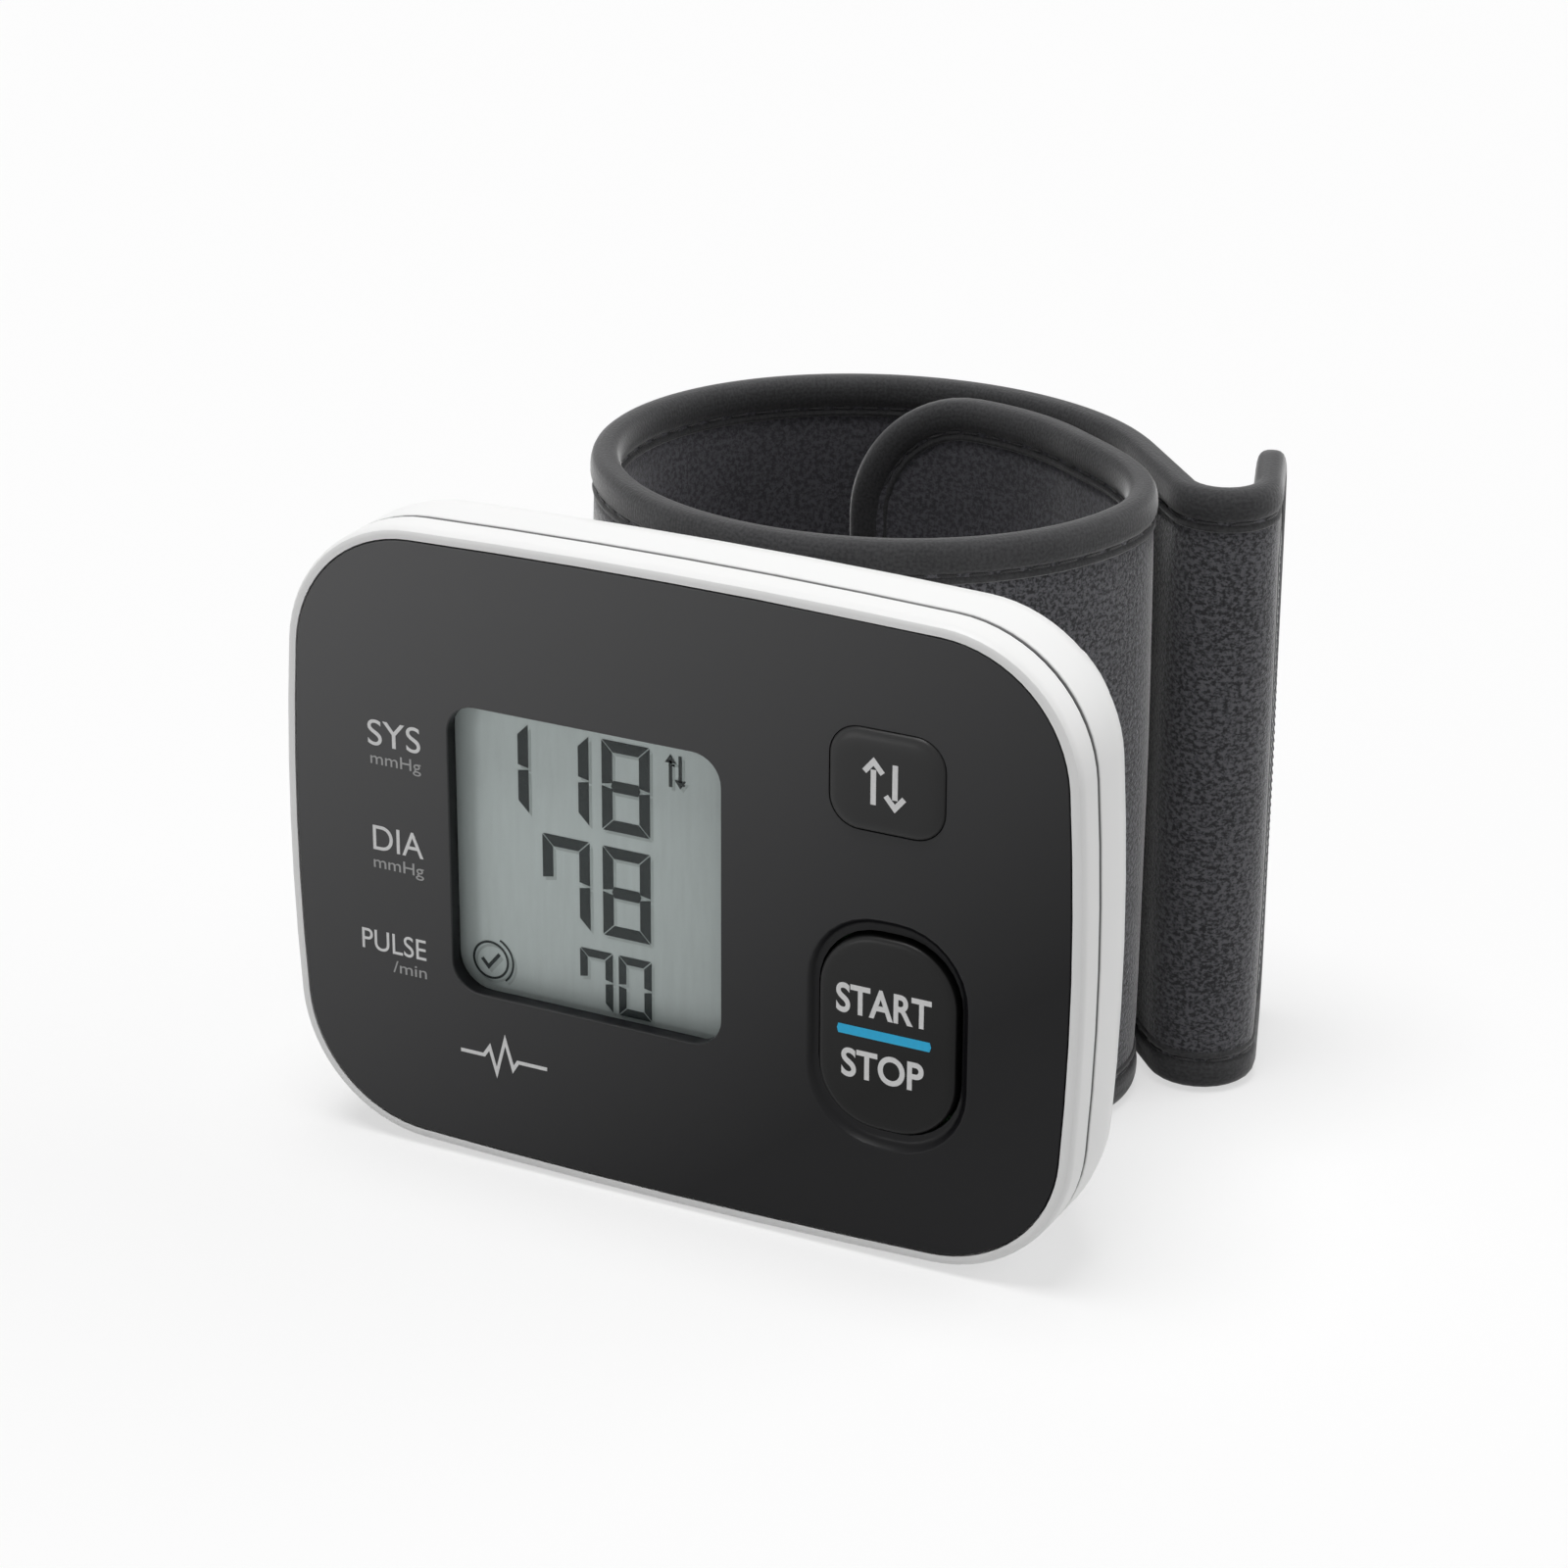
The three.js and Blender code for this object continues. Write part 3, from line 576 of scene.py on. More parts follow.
@dataclass(frozen=True)
class LoopCloth(Finish):
    """Brushed melange loop cloth: light and dark yarns in a soft pile."""

    light: float = 2.6
    tuft: float = 0.5
    relief: float = 0.14
    fibre: float = 0.2
    patch: float = 4.5
    course: float = 0.62
    wale: float = 0.74
    stray: float = 0.0003
    melange: tuple[float, float, float] = (0.6, 0.4, 0.1)
    pile: tuple[float, float, float] = (0.6, 0.5, 0.06)

    def lay(self, graph: Graph) -> bpy.types.Material:
        """Fills the node tree.

        Args:
            graph: the tree, with an output node alone.

        Returns:
            The finished material.
        """
        cloth = graph.along_band()
        yarns = graph.noise(cloth, grain=self.tuft, detail=2.0)
        fibres = graph.noise(cloth, grain=self.fibre, detail=3.0)
        patches = graph.noise(cloth, grain=self.patch, detail=2.0)
        courses = graph.waves(graph.axis(cloth, "X") + fibres * self.stray, self.course)
        rows = courses * graph.waves(graph.axis(cloth, "Y"), self.wale)
        heather = yarns * self.melange[0] + fibres * self.melange[1] + patches * self.melange[2]
        shade = graph.span(heather, 0.48, 0.62)
        pile = yarns * self.pile[0] + fibres * self.pile[1] + rows * self.pile[2]
        return graph.surface(
            {
                "Base Color": graph.mix(shade, self.colour, tinted(self.colour, self.light)),
                "Roughness": graph.spread(fibres, 0.82, 0.95),
                "Normal": graph.bump(pile, depth=self.relief),
                "Sheen Weight": 1.0,
                "Sheen Roughness": 0.35,
                "Specular IOR Level": 0.2,
            }
        )


@dataclass(frozen=True)
class KnitTape(Finish):
    """Fine ribbed knit tape, smoother than the cloth that it binds."""

    rib: float = 0.42
    relief: float = 0.045
    fibre: float = 0.3
    patch: float = 5.0
    stray: Spot = (0.00015, 0.00012)
    loop_share: float = 0.8
    melange: tuple[float, float, float] = (0.8, 0.2, 0.03)
    pile: tuple[float, float, float] = (0.1, 0.1, 0.9)
    dark: float = 0.75
    light: float = 1.3

    def lay(self, graph: Graph) -> bpy.types.Material:
        """Fills the node tree.

        Args:
            graph: the tree, with an output node alone.

        Returns:
            The finished material.
        """
        tape = graph.along_band()
        fibres = graph.noise(tape, grain=self.fibre, detail=3.0)
        patches = graph.noise(tape, grain=self.patch, detail=2.0)
        ribs = graph.waves(graph.axis(tape, "Y") + fibres * self.stray[1], self.rib)
        stitches = graph.waves(graph.axis(tape, "X") + fibres * self.stray[0], self.rib * self.loop_share)
        heather = fibres * self.melange[0] + patches * self.melange[1] + ribs * self.melange[2]
        shade = graph.span(heather, 0.4, 0.62)
        pile = ribs * self.pile[0] + stitches * self.pile[1] + fibres * self.pile[2]
        return graph.surface(
            {
                "Base Color": graph.mix(shade, *self.shades(self.dark, self.light)),
                "Roughness": graph.spread(fibres, 0.8, 0.92),
                "Normal": graph.bump(pile, depth=self.relief),
                "Sheen Weight": 0.7,
                "Sheen Roughness": 0.4,
                "Specular IOR Level": 0.2,
            }
        )


@dataclass(frozen=True)
class Thread(Finish):
    """Twisted sewing thread."""

    ply: float = 0.3
    relief: float = 0.03
    dark: float = 0.7
    light: float = 1.3

    def lay(self, graph: Graph) -> bpy.types.Material:
        """Fills the node tree.

        Args:
            graph: the tree, with an output node alone.

        Returns:
            The finished material.
        """
        place = graph.place()
        across = graph.axis(place, "X") + graph.axis(place, "Y") + graph.axis(place, "Z")
        plies = graph.waves(across, self.ply)
        return graph.surface(
            {
                "Base Color": graph.mix(plies, *self.shades(self.dark, self.light)),
                "Roughness": 0.6,
                "Normal": graph.bump(plies, depth=self.relief),
                "Sheen Weight": 0.2,
            }
        )


@dataclass(frozen=True)
class Rubber(Finish):
    """Soft moulded silicone or film with a dusty surface."""

    roughness: float = 0.6
    speck: float = 1.2
    relief: float = 0.02
    light: float = 1.25

    def lay(self, graph: Graph) -> bpy.types.Material:
        """Fills the node tree.

        Args:
            graph: the tree, with an output node alone.

        Returns:
            The finished material.
        """
        dust = graph.noise(graph.place(), grain=self.speck, detail=4.0)
        dusty = graph.span(dust, 0.35, 0.7)
        return graph.surface(
            {
                "Base Color": graph.mix(dusty, self.colour, tinted(self.colour, self.light)),
                "Roughness": graph.spread(dust, self.roughness - 0.08, self.roughness + 0.1),
                "Normal": graph.bump(dust, depth=self.relief),
            }
        )


@dataclass(frozen=True)
class SolderMask(Finish):
    """Green board lacquer over copper tracks."""

    track: Colour = (0.06, 0.2, 0.07)
    blocks: float = 420.0
    jitter: float = 0.7
    winding: float = 0.004
    pitch: float = 0.9
    relief: float = 0.02

    def lay(self, graph: Graph) -> bpy.types.Material:
        """Fills the node tree.

        Args:
            graph: the tree, with an output node alone.

        Returns:
            The finished material.
        """
        flat = graph.stretched(graph.place(), (1.0, 0.0, 1.0))
        cells = graph.node(
            "TexVoronoi",
            {"distance": "MANHATTAN", "feature": "F1"},
            {"Vector": flat, "Scale": self.blocks, "Randomness": self.jitter},
        )
        tracks = graph.span(graph.waves(cells * self.winding, self.pitch), 0.55, 0.7)
        return graph.surface(
            {
                "Base Color": graph.mix(tracks, self.colour, self.track),
                "Roughness": graph.span(tracks, 0.0, 1.0, 0.32, 0.42),
                "Normal": graph.bump(tracks, depth=self.relief),
            }
        )


@dataclass(frozen=True)
class Jacket(Finish):
    """Plain dark cell jacket that leaves the can's metal bare at both ends."""

    can: Colour = (0.55, 0.55, 0.54)
    middle: float = 0.0298
    reach: float = 0.0206
    scuff: float = 0.8
    scuff_stretch: float = 0.3
    relief: float = 0.004

    def lay(self, graph: Graph) -> bpy.types.Material:
        """Fills the node tree.

        Args:
            graph: the tree, with an output node alone.

        Returns:
            The finished material.
        """
        place = graph.place()
        level = graph.axis(place, "Z") - self.middle
        bare = level * level > self.reach**2
        along = graph.stretched(place, (1.0, 1.0, self.scuff_stretch))
        scuffs = graph.noise(along, grain=self.scuff, detail=3.0)
        return graph.surface(
            {
                "Base Color": graph.mix(bare, self.colour, self.can),
                "Metallic": graph.span(bare, 0.0, 1.0, 0.1, 0.85),
                "Roughness": graph.spread(scuffs, 0.25, 0.4),
                "Normal": graph.bump(scuffs, depth=self.relief),
            }
        )


WHITE_CASE = CaseWhite(
    "white_case_plastic",
    "white_case",
    (0.93, 0.93, 0.925),
    roughness=0.38,
    grain=0.3,
    relief=0.002,
    mottle=0.008,
    gloss=0.3,
)
DARK_PANEL = DarkPanel(
    "dark_panel_plastic",
    "dark_panel",
    (0.005, 0.005, 0.006),
    roughness=0.36,
    grain=0.2,
    relief=0.003,
    mottle=0.08,
    gloss=0.2,
)
# The key caps carry the same painted reflection, lighter at their upper left.
DARK_KEY = DarkPanel(
    "dark_key_plastic",
    "dark_panel",
    (0.004, 0.004, 0.004),
    roughness=0.36,
    grain=0.2,
    relief=0.003,
    mottle=0.08,
    gloss=0.2,
    top=(0.08, 0.08, 0.081),
)
INNER_PLASTIC = Moulded(
    "inner_plastic", "inner_plastic", (0.66, 0.66, 0.63), roughness=0.5, grain=0.4, relief=0.006, mottle=0.04
)
BLACK_COMPONENT = Moulded(
    "black_component",
    "black_component",
    (0.012, 0.012, 0.013),
    roughness=0.5,
    grain=0.15,
    relief=0.006,
    mottle=0.1,
)
BARE_METAL = Metal("bare_metal", "bare_metal", (0.58, 0.58, 0.56))
CLEAR_WINDOW = ClearSheet("clear_window", "clear_window", (0.02, 0.025, 0.025))
DISPLAY = DisplayGlass("display_glass", "lcd", (0.68, 0.765, 0.75))
SEGMENT = Ink("display_segment", "lcd", (0.012, 0.02, 0.02), roughness=0.5)
# The figures' shadows on the diffuser behind the glass are painted, as a pale print shifted from the
# figures.
SEGMENT_SHADE = Ink("display_segment_shade", "lcd", (0.5, 0.57, 0.555), roughness=0.4)
PALE_INK = Ink("pale_ink", "dark_panel", (0.82, 0.82, 0.82))
DIM_INK = Ink("dim_ink", "dark_panel", (0.42, 0.42, 0.42))
BLUE_INK = Ink("blue_ink", "dark_panel", (0.01, 0.5, 0.86))
SOFT_RUBBER = Rubber("soft_rubber", "soft_rubber", (0.55, 0.57, 0.55))
BLADDER_FILM = Rubber("bladder_film", "bladder_film", (0.22, 0.24, 0.27), roughness=0.45)
BOARD = SolderMask("circuit_board", "circuit_board", (0.025, 0.13, 0.045))
CELL_JACKET = Jacket("cell_jacket", "cell_jacket", (0.03, 0.035, 0.045))
CUFF_CLOTH = LoopCloth("cuff_cloth", "cuff_fabric", (0.034, 0.034, 0.037), light=4.2, tuft=0.42)
CUFF_LINING = LoopCloth(
    "cuff_lining_cloth", "cuff_fabric", (0.077, 0.076, 0.085), light=2.1, tuft=0.5, relief=0.08
)
CUFF_TAPE = KnitTape("cuff_tape", "cuff_tape", (0.05, 0.05, 0.052))
CUFF_THREAD = Thread("cuff_thread", "cuff_tape", (0.02, 0.02, 0.022))
HOOK_CLOTH = KnitTape("hook_cloth", "hook_fastener", (0.075, 0.075, 0.08), rib=0.9, relief=0.08)
HOOK_PLASTIC = Moulded(
    "hook_plastic", "hook_fastener", (0.045, 0.045, 0.05), roughness=0.5, grain=0.2, relief=0.004, mottle=0.1
)


class Bench:
    """A piece being modelled in millimetres with mesh operators."""

    def __init__(self) -> None:
        """Starts with an empty mesh."""
        self.mesh = bmesh.new()

    def plate(
        self, width: float, height: float, corner: float, depth: float, steps: int
    ) -> bmesh.types.BMFace:
        """Adds a flat face with rounded corners, across the depth axis.

        Args:
            width: size along X.
            height: size along Z.
            corner: corner radius.
            depth: its Y.
            steps: facets of a corner.

        Returns:
            The face.
        """
        half, rise = width / 2, height / 2
        places = ((-half, -rise), (half, -rise), (half, rise), (-half, rise))
        corners = [self.mesh.verts.new((x, depth, z)) for x, z in places]
        self.mesh.faces.new(corners)
        made = bmesh.ops.bevel(
            self.mesh,
            geom=corners,
            offset=corner,
            offset_type="OFFSET",
            segments=steps,
            profile=0.5,
            affect="VERTICES",
            material=-1,
        )
        faces = {face for vert in made["verts"] for face in vert.link_faces}
        return max(faces, key=lambda face: face.calc_area())

    def lift(self, face: bmesh.types.BMFace, by: float) -> bmesh.types.BMFace:
        """Extrudes a face along the depth axis.

        Args:
            face: the face.
            by: how far, towards the viewer where negative.

        Returns:
            The face at the new place.
        """
        made = bmesh.ops.extrude_face_region(self.mesh, geom=[face])["geom"]
        verts = [item for item in made if isinstance(item, bmesh.types.BMVert)]
        bmesh.ops.translate(self.mesh, vec=(0, by, 0), verts=verts)
        return next(item for item in made if isinstance(item, bmesh.types.BMFace))

    def crown(self, face: bmesh.types.BMFace, rings: Iterable[Spot]) -> None:
        """Insets a face in steps, each further out, so that it is crowned.

        Args:
            face: the face.
            rings: width of each step and its rise towards the viewer.
        """
        for width, rise in rings:
            bmesh.ops.inset_region(self.mesh, faces=[face], thickness=width, use_even_offset=True)
            bmesh.ops.translate(self.mesh, vec=(0, -rise, 0), verts=face.verts)

    def bent(self, to: Callable[[Vector], Vector]) -> None:
        """Moves every vertex to where a function says."""
        for vert in self.mesh.verts:
            vert.co = to(vert.co)

    def smooth(self, sharp: float) -> None:
        """Shades faces smooth, apart from sharp edges.

        Args:
            sharp: angle from which an edge stays sharp, in degrees.
        """
        bmesh.ops.recalc_face_normals(self.mesh, faces=self.mesh.faces[:])
        for face in self.mesh.faces:
            face.smooth = True
        for edge in self.mesh.edges:
            edge.smooth = edge.calc_face_angle(0.0) < math.radians(sharp)

    def piece(self, name: str, finish: Finish, origin: Vector, sharp: float = 40.0) -> bpy.types.Object:
        """Ends the modelling.

        Args:
            name: name of the piece.
            finish: its finish.
            origin: where the mesh's origin is in the frame, in metres.
            sharp: angle of edges that stay sharp, in degrees.

        Returns:
            The object, in the frame.
        """
        self.smooth(sharp)
        self.mesh.transform(Matrix.Translation(origin) @ Matrix.Scale(MM, 4))
        data = bpy.data.meshes.new(name)
        self.mesh.to_mesh(data)
        self.mesh.free()
        data.materials.append(finish.material())
        made = bpy.data.objects.new(name, data)
        bpy.context.scene.collection.objects.link(made)
        return made


def settle(piece: bpy.types.Object, body: Union[str, None], finish: Finish, *nodes: str) -> None:
    """Attaches a piece to its body and hides the solids that it stands for.

    Args:
        piece: the piece, in place.
        body: the body that carries it, or None to leave a piece that spans two bodies unattached.
        finish: its finish, named in the log.
        nodes: names of the solids that it replaces.
    """
    if body:
        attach(piece, body)
    if nodes:
        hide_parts(*nodes)
    log.info("%s rides on %s with %s", piece.name, body or "its bend", finish.name)


@dataclass(frozen=True)
class Arc:
    """An arc of the case's outline, seen from the front.

    A point belongs to it from depth inside its radius to proud outside, with a slack at its ends that is a
    share of its turn. A chord spans at least a share of a facet.
    """

    centre: Spot
    radius: float
    start: float
    end: float
    facets: int
    depth: float = 7.0
    proud: float = 0.1
    slack: float = 0.02
    least: float = 0.3

    def polar(self, spot: Spot) -> Spot:
        """Radius and angle of a point about the arc's middle."""
        x, z = spot[0] - self.centre[0], spot[1] - self.centre[1]
        return math.hypot(x, z), math.atan2(z, x)

    def middle(self, first: Spot, second: Spot) -> Union[Spot, None]:
        """Where the middle of a chord comes to lie on the arc.

        Args:
            first: one end of the chord.
            second: its other end.

        Returns:
            The point on the arc, or nothing where the line isn't a chord of the arc.
        """
        (near, turn), (far, to) = self.polar(first), self.polar(second)
        slack = self.slack * (self.end - self.start)
        for radius, angle in ((near, turn), (far, to)):
            inside = self.radius - self.depth < radius < self.radius + self.proud
            if not inside or not self.start - slack < angle < self.end + slack:
                return None
        if abs(to - turn) < self.least * (self.end - self.start) / self.facets:
            return None
        radius, angle = (near + far) / 2, (turn + to) / 2
        return self.centre[0] + radius * math.cos(angle), self.centre[1] + radius * math.sin(angle)


@dataclass
class Shells:
    """Hard shells: the frame's solids with a truly round outline, soft front edges and even normals."""

    sharp: float = 32.0
    weld: float = 0.001
    flat: float = 0.4
    half_width: float = 39.0
    half_height: float = 30.0
    corner: float = 13.4
    corner_at: Spot = (25.017, 16.162)
    corner_facets: int = 8
    top_radius: float = 728.4
    flank_radius: float = 237.84
    side_facets: int = 3
    match_digits: int = 4
    rounded: tuple[str, ...] = ("front_case", "rear_case", "front_panel")
    softened: tuple[str, ...] = ("front_panel",)
    edge: float = 0.22
    edge_steps: int = 3
    edge_level: float = 0.01
    crisp_at: Spot = (20.8, 14.7)
    crisp_reach: float = 7.5
    railed: tuple[str, ...] = ("battery_cover",)
    rail_left: float = -33.7
    rail_right: float = -32.0
    rail_front: float = 18.85
    rail_high: float = 45.95
    rail_top: float = 52.0
    rail_slopes: Spot = (1.18, -1.22)
    rail_slack: float = 0.1
    pieces: dict[str, tuple[str, Finish]] = field(
        default_factory=lambda: {
            "front_case": ("unit", WHITE_CASE),
            "rear_case": ("unit", WHITE_CASE),
            "battery_cover": ("cover", WHITE_CASE),
            "front_panel": ("unit", DARK_PANEL),
            "display_window": ("unit", CLEAR_WINDOW),
        }
    )

    def arcs(self) -> list[Arc]:
        """The outline's right flank, upper corners and bowed top.

        The rest of the outline is these turned about the middle, so a chord is tried as it is and turned.

        Returns:
            The arcs, from the right flank to the left corner.
        """
        x, z = self.corner_at
        flank = math.atan2(z, x - self.half_width + self.flank_radius)
        top = math.atan2(z - self.half_height + self.top_radius, x)
        facets, sides = self.corner_facets, self.side_facets
        return [
            Arc((self.half_width - self.flank_radius, 0.0), self.flank_radius, -flank, flank, sides),
            Arc((x, z), self.corner, flank, top, facets),
            Arc((0.0, self.half_height - self.top_radius), self.top_radius, top, math.pi - top, sides),
            Arc((-x, z), self.corner, math.pi - top, math.pi - flank, facets),
        ]

    def round_off(self, mesh: bmesh.types.BMesh, middle: float) -> None:
        """Divides each facet of the case's outline and moves the new points out to the true curve.

        Args:
            mesh: the shell, in millimetres.
            middle: height of the outline's middle.
        """
        edges, targets = [], {}
        for edge in mesh.edges:
            ends = [(vert.co.x, vert.co.z - middle) for vert in edge.verts]
            for arc in self.arcs():
                for turn in (1.0, -1.0):
                    found = arc.middle(*((x * turn, z * turn) for x, z in ends))
                    if found:
                        half = (edge.verts[0].co + edge.verts[1].co) / 2
                        edges.append(edge)
                        target = Vector((found[0] * turn, half.y, found[1] * turn + middle))
                        targets[half.to_tuple(self.match_digits)] = target
        made = bmesh.ops.subdivide_edges(mesh, edges=edges, cuts=1)["geom_inner"]
        for vert in [item for item in made if isinstance(item, bmesh.types.BMVert)]:
            vert.co = targets.get(vert.co.to_tuple(self.match_digits), vert.co)

    def soften(self, mesh: bmesh.types.BMesh, middle: float) -> None:
        """Rounds the edges of a shell's front face, but for those close to the link key.

        Args:
            mesh: the shell, in millimetres.
            middle: height of the outline's middle.
        """
        front = min(vert.co.y for vert in mesh.verts)
        link = Vector((self.crisp_at[0], front, self.crisp_at[1] + middle))

        def soft(vert: bmesh.types.BMVert) -> bool:
            """Whether a vertex is on the front face, away from the link key."""
            return vert.co.y < front + self.edge_level and (vert.co - link).length > self.crisp_reach

        sharp = math.radians(self.sharp)
        edges = [
            edge
            for edge in mesh.edges
            if all(soft(vert) for vert in edge.verts) and edge.calc_face_angle(0.0) > sharp
        ]
        bmesh.ops.bevel(
            mesh,
            geom=edges,
            offset=self.edge,
            offset_type="OFFSET",
            segments=self.edge_steps,
            profile=0.5,
            affect="EDGES",
            clamp_overlap=True,
            material=-1,
        )

    def fill_slot(self, mesh: bmesh.types.BMesh, front: float) -> None:
        """Draws the cover's rail up to the wing's sloping top, so that no hole shows at the slot's end.

        Args:
            mesh: the cover, in millimetres.
            front: depth of the panel's face.
        """
        for vert in mesh.verts:
            x, y = vert.co.x - self.rail_left, vert.co.y - front - self.rail_front
            level = abs(vert.co.z - self.rail_high) < self.rail_slack
            if level and vert.co.x < self.rail_right + self.rail_slack:
                vert.co.z = self.rail_top + self.rail_slopes[0] * x + self.rail_slopes[1] * y

    def build(self, frame: Mapping[str, Mapping[str, bpy.types.Object]], origin: Vector) -> None:
        """Makes every shell.

        Args:
            frame: the loaded frame.
            origin: the panel's middle, in metres.
        """
        for node, (body, finish) in self.pieces.items():
            bench = Bench()
            bench.mesh.from_mesh(frame["nodes"][node].data)
            bmesh.ops.remove_doubles(bench.mesh, verts=bench.mesh.verts[:], dist=self.weld * MM)
            bmesh.ops.dissolve_limit(
                bench.mesh,
                angle_limit=math.radians(self.flat),
                verts=bench.mesh.verts[:],
                edges=bench.mesh.edges[:],
            )
            bmesh.ops.scale(bench.mesh, vec=(1 / MM,) * 3, verts=bench.mesh.verts[:])
            if node in self.rounded:
                self.round_off(bench.mesh, origin.z / MM)
            if node in self.softened:
                self.soften(bench.mesh, origin.z / MM)
            if node in self.railed:
                self.fill_slot(bench.mesh, origin.y / MM)
            shell = bench.piece(node + "_shell", finish, Vector(), self.sharp)
            even = shell.modifiers.new("even_normals", "WEIGHTED_NORMAL")
            even.keep_sharp = True
            settle(shell, body, finish, node)


@dataclass
class Keys:
    """The start key, flat with a rounded rim, and the pillow-shaped link key."""

    start_at: Spot = (21.05, -8.65)
    start_size: Spot = (13.0, 18.2)
    start_corner: float = 5.6
    link_at: Spot = (20.8, 14.7)
    link_size: Spot = (10.8, 9.3)
    link_corner: float = 2.85
    corner_steps: int = 12
    start_rim: tuple[Spot, ...] = ((0.05, 0.16), (0.1, 0.14), (0.16, 0.1), (0.25, 0.05), (0.5, 0.01))
    link_rim: tuple[Spot, ...] = (
        (0.08, 0.2),
        (0.14, 0.17),
        (0.25, 0.13),
        (0.5, 0.1),
        (0.6, 0.05),
        (0.7, 0.02),
    )

    def key(
        self,
        node: str,
        body: str,
        at: Spot,
        size: Spot,
        corner: float,
        rim: tuple[Spot, ...],
        origin: Vector,
    ) -> None:
        """Makes one key in the place of its solid.

        Args:
            node: the solid that it replaces.
            body: the body that carries it.
            at: its middle on the panel.
            size: width and height.
            corner: corner radius.
            rim: width and rise of each step from its side to its middle.
            origin: the panel's middle, in metres.
        """
        low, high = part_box(node)
        front = (low.y - origin.y) / MM
        back = (high.y - origin.y) / MM
        bench = Bench()
        face = bench.plate(*size, corner, back, self.corner_steps)
        face = bench.lift(face, front + sum(rise for _, rise in rim) - back)
        bench.crown(face, rim)
        bmesh.ops.translate(bench.mesh, vec=(at[0], 0, at[1]), verts=bench.mesh.verts[:])
        settle(bench.piece(node + "_cap", DARK_KEY, origin, sharp=60.0), body, DARK_KEY, node)

    def build(self, origin: Vector) -> None:
        """Makes both keys.

        Args:
            origin: the panel's middle, in metres.
        """
        start = (self.start_at, self.start_size, self.start_corner, self.start_rim)
        link = (self.link_at, self.link_size, self.link_corner, self.link_rim)
        self.key("start_button", "start_key", *start, origin)
        self.key("link_button", "link_key", *link, origin)


@dataclass(frozen=True)
class Digits:
    """A row of seven-segment figures, right-aligned."""

    text: str
    right: float
    top: float
    height: float
    width: float
    pitch: float
    stroke: float
    gap: float = 0.08
    notch: float = 0.2

    def outlines(self) -> list[list[Spot]]:
        """Outlines of the dark segments, mitred where two meet.

        Returns:
            The corners of each segment, on the panel.
        """
        half_width, half_height, gap = self.width / 2, self.height / 2, self.gap
        inner, level = half_width - self.stroke, half_height - self.stroke
        nip, notch = self.stroke / 2, self.stroke * self.notch
        flat = [
            (half_width - gap, half_height),
            (inner - gap, level),
            (gap - inner, level),
            (gap - half_width, half_height),
        ]
        upright = [
            (half_width, half_height - gap),
            (half_width, gap),
            (inner, notch + gap),
            (inner, level - gap),
        ]
        crossing = [(inner - gap, nip), (gap - inner, nip), (gap - inner - notch, 0.0)]
        turned = {
            "a": flat,
            "b": upright,
            "c": [(x, -z) for x, z in upright],
            "d": [(x, -z) for x, z in flat],
            "e": [(-x, -z) for x, z in upright],
            "f": [(-x, z) for x, z in upright],
            "g": crossing + [(-x, -z) for x, z in crossing],
        }
        outlines = []
        for place, figure in enumerate(reversed(self.text)):
            x, z = self.right - place * self.pitch - half_width, self.top - half_height
            outlines += [[(x + dx, z + dz) for dx, dz in turned[segment]] for segment in SEGMENTS[figure]]
        return outlines


